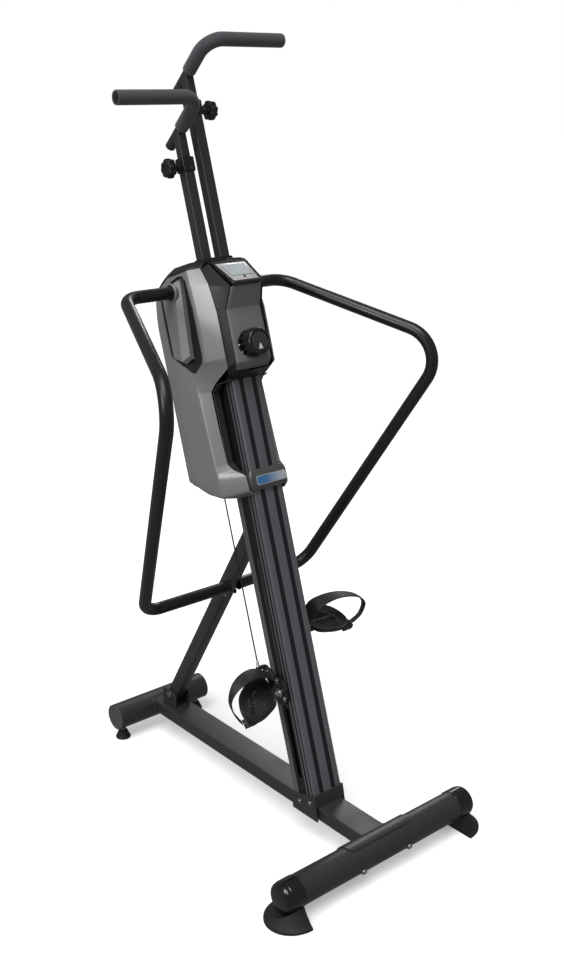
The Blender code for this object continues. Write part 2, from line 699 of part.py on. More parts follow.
def side_covers():
    for side, sign in SIDES.items():
        cover = shell_from(f"{side}_cover", cover_rows(sign), COVER_WALL, SILVER_PLASTIC,
                           COLUMN, (sign * 0.4, 0.12, 1.1))
        cable_hole = rod(f"cable_hole_{side}", (sign * CABLE_X, CABLE_DEPTH, 0.79), "z",
                         CABLE_R + 0.002, 0.07, None, COLUMN, 12)
        window = [(0.026, 1.366), (0.026, 1.180), (0.062, 1.148), (0.090, 1.152),
                  (0.1488, 1.190), (0.1488, 1.3655), (0.100, 1.3765), (0.066, 1.384),
                  (0.040, 1.380)]
        x_low, x_high = sorted((sign * 0.090, sign * 0.120))
        window_cut = add(f"window_cut_{side}", side_prism_mesh(window, x_low, x_high),
                         None, COLUMN)
        cut(cover, cable_hole, window_cut)
        bar_cover(side, sign)
        inner_frame(side, sign)


def bar_cover(side, sign):
    """The raised silver block inside the cover's window, which a side bar passes."""
    low_end = ((0.0856, 0.083, 1.188), (0.099, 0.083, 1.188), (0.109, 0.108, 1.178),
               (0.104, 0.148, 1.192), (0.0856, 0.148, 1.192))
    high_end = ((0.0856, 0.063, 1.380), (0.099, 0.063, 1.380), (0.109, 0.075, 1.377),
                (0.104, 0.148, 1.362), (0.0856, 0.148, 1.362))

    def build(shape):
        low = [shape.verts.new((sign * x, y, s)) for x, y, s in low_end]
        high = [shape.verts.new((sign * x, y, s)) for x, y, s in high_end]
        shape.faces.new(low)
        shape.faces.new(high)
        for i in range(len(low)):
            shape.faces.new((low[i - 1], low[i], high[i], high[i - 1]))
        bmesh.ops.triangulate(shape, faces=shape.faces)
    block = add(f"{side}_bar_cover", mesh_from(build), SILVER_PLASTIC, COLUMN)
    start = (-0.3, BAR_P1.y, BAR_P1.z)
    cut(block, rod(f"bar_cover_bore_{side}", start, "x", BAR_R + GAP, 0.6))


def inner_frame(side, sign):
    """The black moulding behind the silver cover: the recess wall beside the column,
    and the plate that closes the cover's window, joined by a rib inside the cover."""
    rows = [[(sign * 0.0466, y, z), (sign * x, y, z)] for x, y, z in
            ((0.0560, -0.008, 1.1100), (0.0690, 0.031, 1.1050), (0.0715, 0.050, 1.086),
             (0.0700, 0.050, 0.906), (0.0590, 0.032, 0.884), (0.0560, 0.006, 0.877))]
    frame = shell_from(f"inner_frame_{side}", rows, 0.002, BLACK_PLASTIC, COLUMN,
                       (sign * 0.06, -1, 1.0))
    plate_outline = [(0.014, 1.362), (0.014, 1.182), (0.046, 1.146), (0.098, 1.146),
                     (0.158, 1.184), (0.158, 1.366), (0.100, 1.383), (0.032, 1.383)]
    plate = add(f"window_plate_{side}", side_prism_mesh(
        plate_outline, *sorted((sign * 0.0825, sign * 0.0852))), None, COLUMN)
    inner, outer = sign * 0.0600, sign * 0.0845
    web = cutter_box(f"frame_web_{side}", (min(inner, outer), 0.080, 1.040),
                     (max(inner, outer), 0.090, 1.175), COLUMN)
    outer = sign * 0.0655
    rib = cutter_box(f"frame_rib_{side}", (min(inner, outer), 0.0505, 1.040),
                     (max(inner, outer), 0.085, 1.060), COLUMN)
    cut(frame, rib, web, plate, operation="UNION")
    start = (-0.3, BAR_P1.y, BAR_P1.z)
    cut(frame, rod(f"frame_bore_{side}", start, "x", BAR_R + GAP, 0.6))


def top_cover():
    """The black crown between the side covers, which the arms pass through."""
    rows = []
    for depth, edge_x, edge_s, crown_x, crown_s in (
            (-0.002, 0.0720, 1.3946, 0.058, 1.4030), (0.014, 0.0820, 1.3946, 0.066, 1.4065),
            (0.032, 0.0988, 1.3946, 0.081, 1.4100),
            (0.100, 0.0990, 1.3940, 0.082, 1.410), (0.135, 0.0985, 1.3865, 0.080, 1.401),
            (0.166, 0.0975, 1.3715, 0.078, 1.386), (0.200, 0.0900, 1.3420, 0.070, 1.354),
            (0.222, 0.0590, 1.3220, 0.045, 1.330)):
        half = [(edge_x, depth, edge_s), (crown_x, depth, crown_s),
                (crown_x / 2, depth, crown_s + 0.002)]
        rows.append([(-x, y, z) for x, y, z in half]
                    + [(x, y, z) for x, y, z in reversed(half)])
    crown = shell_from("top_cover", rows, COVER_WALL, BLACK_PLASTIC, COLUMN,
                       (0, 0.1, 1.8))
    half = ARM_HALF + 0.0015
    opening = cutter_box("arm_opening", (-ARM_X - half, ARM_DEPTH - half, 1.3),
                         (ARM_X + half, ARM_DEPTH + half, 1.5), COLUMN)
    cut(crown, opening)


# Console outline down its front: (depth, height along the column, half-width).
DISPLAY_REAR = (-0.012, 1.4026, 0.0548)
DISPLAY_FRONT = (-0.083, 1.3370, 0.0470)
CONSOLE_WAIST = (-0.042, 1.2800, 0.0540)
CONSOLE_LIP = (-0.0465, 1.1500, 0.0550)
CONSOLE_CHIN = (-0.040, 1.1370, 0.0545)


def console():
    rows = []
    for depth, s, half in ((-0.0735, 1.3300, 0.0465), CONSOLE_WAIST, CONSOLE_LIP,
                           CONSOLE_CHIN):
        rows.append([(-half, depth + 0.010, s), (-half, depth, s), (half, depth, s),
                     (half, depth + 0.010, s)])
    front = shell_from("console_front", rows, CONSOLE_WALL, CONSOLE_PLASTIC, COLUMN,
                       (0, -0.4, 1.2))
    post = rod("knob_post_hole", (0, -0.060, 1.190), "y", 0.0045, 0.03, None, COLUMN, 16)
    cut(front, post)
    console_surround()
    display()


def console_surround():
    """The black collar that joins the console to the side covers."""
    reach = 0.0024
    inner = [(DISPLAY_REAR[2] + reach, -0.012, 1.392), (0.0500, -0.0690, 1.3330),
             (CONSOLE_WAIST[2] + reach, CONSOLE_WAIST[0] + 0.001, CONSOLE_WAIST[1]),
             (CONSOLE_LIP[2] + 0.0034, CONSOLE_LIP[0] + 0.003, CONSOLE_LIP[1]),
             (CONSOLE_CHIN[2] + 0.004, CONSOLE_CHIN[0] + 0.004, CONSOLE_CHIN[1] - 0.009)]
    outer = [(0.0686, 0.004, 1.386), (0.0686, -0.0155, 1.344), (0.0686, -0.0262, 1.290),
             (0.0686, -0.0262, 1.142), (0.0500, -0.004, 1.1125)]
    rows = []
    for sign, order in ((-1, range(5)), (1, range(4, -1, -1))):
        rows += [[(sign * x, y, z) for x, y, z in (inner[i], outer[i])] for i in order]
    shell_from("console_surround", rows, 0.0015, BLACK_PLASTIC, COLUMN, (0, -0.4, 0.9))


def display_frame():
    """An empty at the display's front edge: local Y up its slope, local Z out of it."""
    rise = DISPLAY_REAR[1] - DISPLAY_FRONT[1]
    run = DISPLAY_REAR[0] - DISPLAY_FRONT[0]
    return empty("display_frame", (0, DISPLAY_FRONT[0], DISPLAY_FRONT[1]),
                 (math.atan2(rise, run), 0, 0), COLUMN)


def display():
    frame = display_frame()
    length = 0.0960
    outline = [(-DISPLAY_FRONT[2], 0), (DISPLAY_FRONT[2], 0), (DISPLAY_REAR[2], length),
               (-DISPLAY_REAR[2], length)]
    unit = add("display_unit", prism_mesh([outline], -0.0090, 0), DISPLAY_GREY, frame)
    hole = rod("button_hole", (0.003, 0.0238, -0.006), "z", 0.0036, 0.02, None, frame, 16)
    cut(unit, hole)
    rod("display_button", (0.003, 0.0238, -0.0045), "z", 0.0032, 0.0060, BLACK_PLASTIC,
        frame, 16)


def resistance_knob():
    """The lobed knob on the console, with its spindle and the gauge it turns."""
    frame = empty("knob_frame", (0, -0.0830, 1.190), (-math.pi / 2, 0, 0), COLUMN)
    mesh = prism_mesh([lobed(0.0365, 0.002, 10)], 0.001, 0.0335)
    knob = add("resistance_knob", mesh, BLACK_PLASTIC, frame)
    cut(knob, rod("knob_spindle", (0, 0, 0.024), "z", 0.004, 0.045, None, frame, 16),
        operation="UNION")


def lower_collar():
    """The band that ties both covers together round the column's front."""
    outline = [(-0.0585, -0.010), (0.0585, -0.010), (0.0585, -0.0035), (0.0555, 0.004),
               (0.0555, 0.030), (0.0466, 0.030), (0.0466, -GAP), (-0.0466, -GAP),
               (-0.0466, 0.030), (-0.0555, 0.030), (-0.0555, 0.004), (-0.0585, -0.0035)]
    band = add("lower_collar", prism_mesh([outline], 0.8365, 0.8715), BLACK_PLASTIC, COLUMN)
    face = [(-0.0585, -0.0125), (0.0585, -0.0125), (0.0585, -0.0035), (0.0466, -0.0035),
            (0.0460, -GAP), (-0.0460, -GAP), (-0.0466, -0.0035), (-0.0585, -0.0035)]
    cut(band, add("collar_face", prism_mesh([face], 0.8290, 0.8825), None, COLUMN),
        operation="UNION")


# ---- Drive inside the housing -------------------------------------------------------------
def drive():
    centre = (0, COLUMN_DEPTH + GAP, PULLEY_S)
    rod("drive_axle", centre, "y", 0.006, 0.140, STEEL, COLUMN, 16)
    bore = 0.006 + GAP
    groove = CABLE_X - CABLE_R - 0.0005
    pulley = [(PULLEY_R, 0.014), (groove, 0.0095), (groove, 0.0045), (PULLEY_R, 0),
              (bore, 0), (bore, 0.014)]
    turned("drive_pulley", pulley, BLACK_PLASTIC, (0, 0.091, PULLEY_S), "y", COLUMN)
    width = FLYWHEEL_DEPTH[1] - FLYWHEEL_DEPTH[0]
    web = 0.007
    wheel = [(FLYWHEEL_R, width), (FLYWHEEL_R, 0), (0.060, 0), (0.056, web), (0.022, web),
             (0.018, 0), (bore, 0), (bore, width), (0.018, width), (0.022, width - web),
             (0.056, width - web), (0.060, width)]
    turned("flywheel", wheel, CAST_IRON, (0, FLYWHEEL_DEPTH[0], PULLEY_S), "y", COLUMN)
    magnet_arm()


def magnet_arm():
    """The curved magnet carrier over the flywheel's rim, pivoting at its left end."""
    low, high, steps = math.radians(58), math.radians(122), 8
    arc = [low + (high - low) * i / steps for i in range(steps + 1)]
    outline = [(0.0860 * math.cos(a), 0.0860 * math.sin(a)) for a in arc]
    outline += [(0.0950 * math.cos(a), 0.0950 * math.sin(a)) for a in reversed(arc)]
    mesh = prism_mesh([outline], 0, 0.022)
    mesh.transform(Matrix.Rotation(math.pi / 2, 4, "X"))
    pivot = Vector((0.0905 * math.cos(high), 0, 0.0905 * math.sin(high)))
    mesh.transform(Matrix.Translation(-pivot))
    place = Vector((0, FLYWHEEL_DEPTH[1] - 0.001, PULLEY_S))
    add("magnet_carrier", mesh, STEEL, COLUMN, place + pivot)


# ---- Arms -----------------------------------------------------------------------------------
def arm(side, sign):
    axle_s = LEFT_AXLE_S + (ARM_STAGGER if sign > 0 else 0)
    base = empty(f"{side}_arm_frame", (0, 0, axle_s), (0, 0, 0), COLUMN)
    outer = rounded_rect(ARM_HALF, ARM_HALF, 0.002, 2, (sign * ARM_X, ARM_DEPTH))
    hollow = ARM_HALF - ARM_WALL
    inner = rounded_rect(hollow, hollow, 0.001, 2, (sign * ARM_X, ARM_DEPTH))
    tube = add(f"{side}_arm_tube", prism_mesh([outer, inner], ARM_BOTTOM, ARM_TOP),
               FRAME_PAINT, base)
    screw_hole = rod(f"clamp_hole_{side}", (sign * 0.050 - 0.014, ARM_DEPTH, CLAMP_SCREW),
                     "x", 0.0044, 0.028, None, base, 16)
    cut(tube, screw_hole)
    clamp(side, sign, base, screw_hole)
    carriage(side, sign, base)
    handle(side, sign, base)
    pedal(side, sign, base)
    cable = (sign * CABLE_X, CABLE_DEPTH, 0.0705)
    rod(f"{side}_cable", cable, "z", CABLE_R, CABLE_LENGTH, BLACK_PLASTIC, base, 8)


def clamp(side, sign, base, screw_hole):
    """The square collar round the arm's top, its screw boss and its star knob."""
    outer = rounded_rect(CLAMP_HALF, CLAMP_HALF, 0.003, 2, (sign * ARM_X, ARM_DEPTH))
    hole = ARM_HALF + GAP
    inner = rounded_rect(hole, hole, 0.002, 2, (sign * ARM_X, ARM_DEPTH))
    collar_piece = add(f"{side}_clamp", prism_mesh([outer, inner], CLAMP_LOW, CLAMP_HIGH),
                       BLACK_PLASTIC, base)
    boss_x = min(sign * 0.0450, sign * 0.0560)
    boss = rod(f"clamp_boss_{side}", (boss_x, ARM_DEPTH, CLAMP_SCREW), "x", 0.009, 0.011,
               None, base, 20)
    cut(collar_piece, boss, operation="UNION")
    cut(collar_piece, screw_hole)
    knob_frame = empty(f"{side}_knob_frame", (0, ARM_DEPTH, CLAMP_SCREW),
                       (0, sign * math.pi / 2, 0), base)
    knob = add(f"{side}_clamp_knob",
               prism_mesh([lobed(KNOB_R, 0.004, 6)], KNOB_X - 0.014, KNOB_X + 0.008),
               BLACK_PLASTIC, knob_frame)
    shank = rod(f"knob_shank_{side}", (0, 0, 0.0412), "z", 0.004, 0.035, None, knob_frame,
                12)
    neck = rod(f"knob_neck_{side}", (0, 0, 0.0585), "z", 0.0085, 0.014, None, knob_frame,
               16)
    cut(knob, neck, shank, operation="UNION")


def handle(side, sign, base):
    """The inner post, with the handle tube welded across its top, and the foam grip."""
    corner = COLUMN.matrix_basis.inverted() @ Vector((0, 0.6244 - DEPTH_CENTRE, 1.8323))
    corner = Vector((sign * ARM_X, corner.y, corner.z - LEFT_AXLE_S))
    forward = Vector((0, -math.cos(HANDLE_ANGLE), math.sin(HANDLE_ANGLE)))
    forward = COLUMN.matrix_basis.to_3x3().inverted() @ forward
    rear = corner - forward * STEM_LENGTH
    end = Vector((sign * GRIP_END_X, corner.y, corner.z))
    tube_end = end - Vector((sign * 0.0045, 0, 0))
    path = rounded_path([rear, corner, tube_end], [0.048], 8)
    tube = bent_tube(f"{side}_handle", path, HANDLE_R, 0.002, FRAME_PAINT, base)
    outer = rounded_rect(POST_HALF, POST_HALF, 0.002, 2, (sign * ARM_X, ARM_DEPTH))
    inner = rounded_rect(POST_HALF - 0.0016, POST_HALF - 0.0016, 0.001, 2,
                         (sign * ARM_X, ARM_DEPTH))
    post = add(f"handle_post_{side}", prism_mesh([outer, inner], 1.080, 1.430), None, base)
    slope = math.atan2(forward.z, -forward.y)
    trim_frame = empty(f"trim_frame_{side}", rear, (-slope, 0, 0), base)
    above = cutter_box(f"post_trim_{side}", (-0.03, -0.2, 0), (0.03, 0.05, 0.2), trim_frame)
    core = rod(f"post_core_{side}", (0, -0.12, 0), "y", HANDLE_R - 0.001, 0.14, None,
               trim_frame, 24)
    cut(post, above, core)
    cut(tube, post, operation="UNION")
    grip_path = [rear + forward * GRIP_START] + [
        p for p in path[1:-1]] + [end]
    bent_tube(f"{side}_grip", grip_path, GRIP_R, GRIP_R - HANDLE_R - GAP, FOAM, base)


def carriage(side, sign, base):
    """The plate outside the column, with its neck through the slot and a cable lug."""
    outline = [(0.018, 0.012), (0.020, -0.012), (0.032, -0.030), (0.046, -0.036),
               (0.062, -0.030), (0.074, -0.010), (0.092, 0.040), (0.106, 0.060),
               (0.106, 0.070), (0.088, 0.070), (0.060, 0.044), (0.030, 0.036)]
    x_low, x_high = sorted((sign * 0.0475, sign * 0.0550))
    plate = add(f"{side}_carriage", side_prism_mesh(outline, x_low, x_high), BLACK_PLASTIC,
                base)
    half = SLOT_WIDTH / 2 - 0.0008
    x_low, x_high = sorted((sign * (ARM_X + ARM_HALF + GAP), sign * 0.050))
    neck = cutter_box(f"carriage_neck_{side}", (x_low, SLOT_DEPTH - half, -0.026),
                      (x_high, SLOT_DEPTH + half, 0.030), base)
    x_low, x_high = sorted((sign * 0.0520, sign * 0.0745))
    lug = cutter_box(f"cable_lug_{side}", (x_low, 0.0915, 0.0610),
                     (x_high, 0.1045, 0.0700), base)
    cut(plate, neck, lug, operation="UNION")


def pedal(side, sign, base):
    """The pedal turns on its own axle, which screws into the carriage."""
    frame = empty(f"{side}_pedal_frame", (0, SLOT_DEPTH, 0), (0, 0, 0), base)
    profile = [(0, AXLE_X[1]), (AXLE_R, AXLE_X[1]), (AXLE_R, 0.0775), (0.0095, 0.0765),
               (0.0095, 0.0620), (0.0120, 0.0600), (0.0120, 0.0555), (0, 0.0555)]
    axle = turned(f"{side}_pedal_axle", profile, STEEL, (0, 0, 0), "x", frame, 16)
    if sign < 0:
        axle.rotation_euler = (0, -math.pi / 2, 0)
    tilt = PEDAL_TILT[sign] + LEAN
    swing = empty(f"{side}_pedal_swing", (0, 0, 0), (tilt, 0, 0), frame)
    outline = [(sign * x, y) for x, y in smooth_route(TREAD, 3, closed=True)]
    body = add(f"{side}_pedal", prism_mesh([outline], -PEDAL_HALF_DEPTH, PEDAL_HALF_DEPTH),
               BLACK_PLASTIC, swing)
    hub = rod(f"pedal_hub_{side}", (min(sign * 0.079, sign * 0.150), 0, -0.004), "x",
              0.0135, 0.071, None, swing, 20)
    cut(body, hub, operation="UNION")
    lug_x = sorted((sign * 0.165, sign * BUCKLE_X))
    lug = cutter_box(f"buckle_lug_{side}", (lug_x[0], BUCKLE_Y[0], -0.009),
                     (lug_x[1], BUCKLE_Y[1], 0.006), swing)
    cut(body, lug, operation="UNION")
    bore = rod(f"pedal_bore_{side}", (min(sign * 0.05, sign * 0.1692), 0, 0), "x",
               AXLE_R + GAP, 0.1192, None, swing, 16)
    cut(body, bore)
    toe_strap(side, sign, swing)


def toe_strap(side, sign, swing):
    """A broad moulded strap from the tread's inner edge, over the shoe, to the buckle."""
    rows = []
    for x, heel_y, heel_z, toe_y, toe_z in smooth_route(STRAP_ROUTE[sign], 3):
        rows.append([(sign * x, heel_y, heel_z), (sign * x, toe_y, toe_z)])
    strap = shell_from(f"{side}_toe_strap", rows, STRAP_WALL, RUBBER, swing,
                       (sign * 0.14, 0, 0.4))
    smooth(strap)


def build():
    bpy.context.view_layer.update()
    front_stabiliser()
    rear_stabiliser()
    base_beam()
    brace()
    column()
    column_socket()
    side_bars()
    bar_mount()
    side_covers()
    top_cover()
    console()
    resistance_knob()
    lower_collar()
    drive()
    for side, sign in SIDES.items():
        arm(side, sign)


build()
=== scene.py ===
"""Looks of the vertical climber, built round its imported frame.

Everything is in metres in the row frame: +Z up, -Y towards the user, +X on the user's
right. Pieces on the leaning column are made in its own frame: local X across, local Y
back from the column's front face, local Z up along it.
"""

import math

import bmesh
import bpy
from mathutils import Matrix, Vector


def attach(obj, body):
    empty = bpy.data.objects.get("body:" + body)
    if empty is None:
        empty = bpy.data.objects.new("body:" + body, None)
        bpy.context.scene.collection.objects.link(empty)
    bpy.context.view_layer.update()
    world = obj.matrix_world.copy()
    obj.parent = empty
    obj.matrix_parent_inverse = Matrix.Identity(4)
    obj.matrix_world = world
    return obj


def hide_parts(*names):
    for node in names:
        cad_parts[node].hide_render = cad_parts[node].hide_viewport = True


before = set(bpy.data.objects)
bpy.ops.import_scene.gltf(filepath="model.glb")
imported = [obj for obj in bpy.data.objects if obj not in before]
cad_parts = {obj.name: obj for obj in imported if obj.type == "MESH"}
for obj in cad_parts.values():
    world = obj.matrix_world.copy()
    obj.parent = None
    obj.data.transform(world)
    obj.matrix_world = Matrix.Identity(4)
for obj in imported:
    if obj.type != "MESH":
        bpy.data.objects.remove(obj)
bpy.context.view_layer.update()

# ---- Dimensions shared with the solids ----------------------------------------------
DEPTH_CENTRE = 0.461
FRONT_Y, FRONT_Z = -DEPTH_CENTRE, 0.0665
REAR_Y, REAR_Z = 0.9546 - DEPTH_CENTRE, 0.073
TUBE_R = 0.0381
FRONT_HALF, REAR_HALF = 0.300, 0.155
CAP_X, CAP_END, CAP_R = 0.265, 0.320, 0.0398
FOOT_X, FOOT_REACH, FOOT_HALF = 0.272, 0.076, 0.068
LEVEL_X = 0.133
BEAM_HALF, BEAM_TOP, BEAM_LOW = 0.040, 0.1046, 0.0676
SADDLE_R, SADDLE_HALF = 0.0412, 0.104
LEAN = math.radians(16.68)
COLUMN_HALF, COLUMN_DEPTH, COLUMN_TOP = 0.046, 0.083, 1.330
SLOT_DEPTH, SLOT_WIDTH, SLOT_LOW, SLOT_HIGH = 0.046, 0.015, 0.075, 0.660
SOCKET_TOP, SOCKET_HALF = 0.034, 0.0495
BRACE_HALF, BRACE_DEPTH = 0.016, 0.040
BRACE_LEAN = math.radians(31.56)
BRACE_PIVOT = Vector((0, 0.8717 - DEPTH_CENTRE, 0.1198))
BAR_R, BAR_S, BAR_DEPTH = 0.016, 1.3494, 0.0928
BAR_P1 = Vector((0.2466, 0.6508 - DEPTH_CENTRE, 1.3707))
BAR_P2 = Vector((0.4269, 0.2065 - DEPTH_CENTRE, 1.2388))
BAR_P3 = Vector((0.2719, 0.5915 - DEPTH_CENTRE, 0.5731))
BAR_P4 = Vector((0.0163, 0.568 - DEPTH_CENTRE, 0.583))
BAR_SEAM = 0.375
DIAL_R = 0.0362
BAR_UPPER_BENDS, BAR_LOWER_BENDS = (0.060, 0.085), (0.055,)
COVER_SIDE = 0.100
ARM_X, ARM_DEPTH, ARM_HALF, POST_HALF = 0.0284, 0.0426, 0.0143, 0.0122
LEFT_AXLE_S, ARM_STAGGER = 0.306, 0.1385
ARM_BOTTOM, ARM_TOP = -0.046, 1.354
CLAMP_LOW, CLAMP_HIGH, CLAMP_HALF, CLAMP_SCREW = 1.326, 1.361, 0.0178, 1.337
HANDLE_ANGLE = math.radians(43.0)
HANDLE_R, GRIP_R, GRIP_END_X = 0.0127, 0.0173, 0.262
STEM_LENGTH, GRIP_START = 0.174, 0.0675
PEDAL_TILT = {-1: math.radians(48.0), 1: math.radians(22.0)}
# The tread's outline, seen from above: across the machine, then towards the toe.
TREAD_EDGE = ((0.0815, -0.018), (0.118, -0.041), (0.158, -0.049), (0.183, -0.035),
              (0.188, -0.006), (0.172, 0.032), (0.132, 0.056), (0.097, 0.057),
              (0.0815, 0.043))
TREAD_MIDDLE = (0.132, 0.004)
# Each toe strap's route from the tread's inner edge, over the shoe, to the buckle at the
# outer heel corner: across, then the heel edge's and the toe edge's (y, z).
STRAP_ROUTE = {
    -1: ((0.0800, 0.015, 0.0125, 0.053, 0.0125), (0.0800, 0.020, 0.030, 0.058, 0.026),
         (0.090, 0.030, 0.050, 0.063, 0.032), (0.130, 0.045, 0.065, 0.078, 0.043),
         (0.172, 0.044, 0.070, 0.075, 0.049), (0.206, 0.034, 0.056, 0.058, 0.044),
         (0.220, 0.016, 0.030, 0.030, 0.024), (0.213, -0.008, 0.008, 0.006, 0.006),
         (0.202, -0.029, -0.001, -0.016, -0.001), (0.1955, -0.039, -0.003, -0.026, -0.003)),
    1: ((0.0800, 0.001, 0.0125, 0.043, 0.0125), (0.0800, -0.003, 0.034, 0.039, 0.032),
        (0.092, -0.007, 0.066, 0.035, 0.060), (0.130, -0.013, 0.087, 0.026, 0.076),
        (0.172, -0.020, 0.089, 0.014, 0.079), (0.214, -0.026, 0.074, 0.000, 0.068),
        (0.239, -0.030, 0.046, -0.012, 0.044), (0.234, -0.034, 0.014, -0.020, 0.014),
        (0.214, -0.037, 0.000, -0.024, 0.000), (0.1955, -0.040, -0.003, -0.026, -0.003))}
CABLE_X, CABLE_DEPTH, CABLE_LENGTH = 0.070, 0.098, 0.637
SIDES = {"left": -1, "right": 1}

WORLD = Matrix.Identity(4)
COLUMN = (Matrix.Translation((0, 0.1747 - DEPTH_CENTRE, BEAM_TOP))
          @ Matrix.Rotation(-LEAN, 4, "X"))
BRACE = Matrix.Translation(BRACE_PIVOT) @ Matrix.Rotation(BRACE_LEAN, 4, "X")
ALONG_X = Matrix.Rotation(math.pi / 2, 4, "Y")
ALONG_Y = Matrix.Rotation(-math.pi / 2, 4, "X")
# Lays an outline drawn as (depth, height) across the machine, from low X to high X.
SIDEWAYS = Matrix(((0, 0, 1, 0), (1, 0, 0, 0), (0, 1, 0, 0), (0, 0, 0, 1)))


def arm_frame(sign):
    return COLUMN @ Matrix.Translation((0, 0, LEFT_AXLE_S + (ARM_STAGGER if sign > 0 else 0)))


# ---- Camera and light ---------------------------------------------------------------
def aim_camera():
    yaw, pitch, roll = (math.radians(a) for a in (39.85, -18.16, -0.38))
    forward = Vector((math.sin(yaw) * math.cos(pitch), math.cos(yaw) * math.cos(pitch),
                      math.sin(pitch)))
    right = forward.cross(Vector((0, 0, 1))).normalized()
    up = right.cross(forward)
    right, up = (math.cos(roll) * right + math.sin(roll) * up,
                 math.cos(roll) * up - math.sin(roll) * right)
    data = bpy.data.cameras.new("camera")
    data.lens = 44.18
    data.sensor_width = 36
    data.clip_start, data.clip_end = 0.05, 100
    camera = bpy.data.objects.new("camera", data)
    bpy.context.scene.collection.objects.link(camera)
    turn = Matrix((right, up, -forward)).transposed().to_4x4()
    camera.matrix_world = Matrix.Translation((-1.7714, -2.2236, 1.8382)) @ turn
    bpy.context.scene.camera = camera


def softbox(name, location, target, size, power, colour=(1, 1, 1)):
    data = bpy.data.lights.new(name, "AREA")
    data.shape = "RECTANGLE"
    data.size, data.size_y = size
    data.energy = power
    data.color = colour
    light = bpy.data.objects.new(name, data)
    bpy.context.scene.collection.objects.link(light)
    aim = Vector(target) - Vector(location)
    light.matrix_world = (Matrix.Translation(location)
                          @ aim.to_track_quat("-Z", "Y").to_matrix().to_4x4())


def light_the_studio():
    """A white surround, a softer fill from it, a broad sun and two softboxes."""
    world = bpy.data.worlds.new("studio")
    world.use_nodes = True
    nodes, links = world.node_tree.nodes, world.node_tree.links
    backdrop, fill = nodes["Background"], nodes.new("ShaderNodeBackground")
    for shade, strength in ((backdrop, 1.0), (fill, 0.24)):
        shade.inputs["Color"].default_value = (1, 1, 1, 1)
        shade.inputs["Strength"].default_value = strength
    path, mix = nodes.new("ShaderNodeLightPath"), nodes.new("ShaderNodeMixShader")
    links.new(path.outputs["Is Camera Ray"], mix.inputs[0])
    links.new(fill.outputs[0], mix.inputs[1])
    links.new(backdrop.outputs[0], mix.inputs[2])
    links.new(mix.outputs[0], nodes["World Output"].inputs["Surface"])
    bpy.context.scene.world = world
    bpy.context.scene.view_settings.view_transform = "Standard"
    sun = bpy.data.lights.new("sun", "SUN")
    sun.energy = 2.0
    sun.angle = math.radians(40)
    lamp = bpy.data.objects.new("sun", sun)
    bpy.context.scene.collection.objects.link(lamp)
    lamp.matrix_world = Vector((0.60, 0.45, -1.50)).to_track_quat("-Z", "Y").to_matrix().to_4x4()
    softbox("key", (-3.4, -0.6, 2.5), (0, 0, 1.3), (0.9, 1.8), 48)
    softbox("rim", (2.6, 2.4, 2.6), (0, 0, 1.0), (0.8, 2.0), 25)


FLOOR_RADIUS, FLOOR_GLOW = 60, 0.32


def lay_floor():
    """A broad pale disc under the machine, which lends it no bounced light."""
    look = Look("studio_floor", (0.95, 0.95, 0.95), 0.9)
    look.vary_roughness(look.noise(3), 0.02)
    look.set("Emission Color", (1, 1, 1, 1))
    look.set("Emission Strength", FLOOR_GLOW)
    edge = [(FLOOR_RADIUS * math.cos(math.pi * i / 48),
             FLOOR_RADIUS * math.sin(math.pi * i / 48), -0.0005)
            for i in range(96)]
    floor = bpy.data.objects.new("studio_floor", mesh_of(edge, [tuple(range(96))]))
    floor.data.materials.append(look.material)
    bpy.context.scene.collection.objects.link(floor)
    floor.visible_diffuse = floor.visible_glossy = False


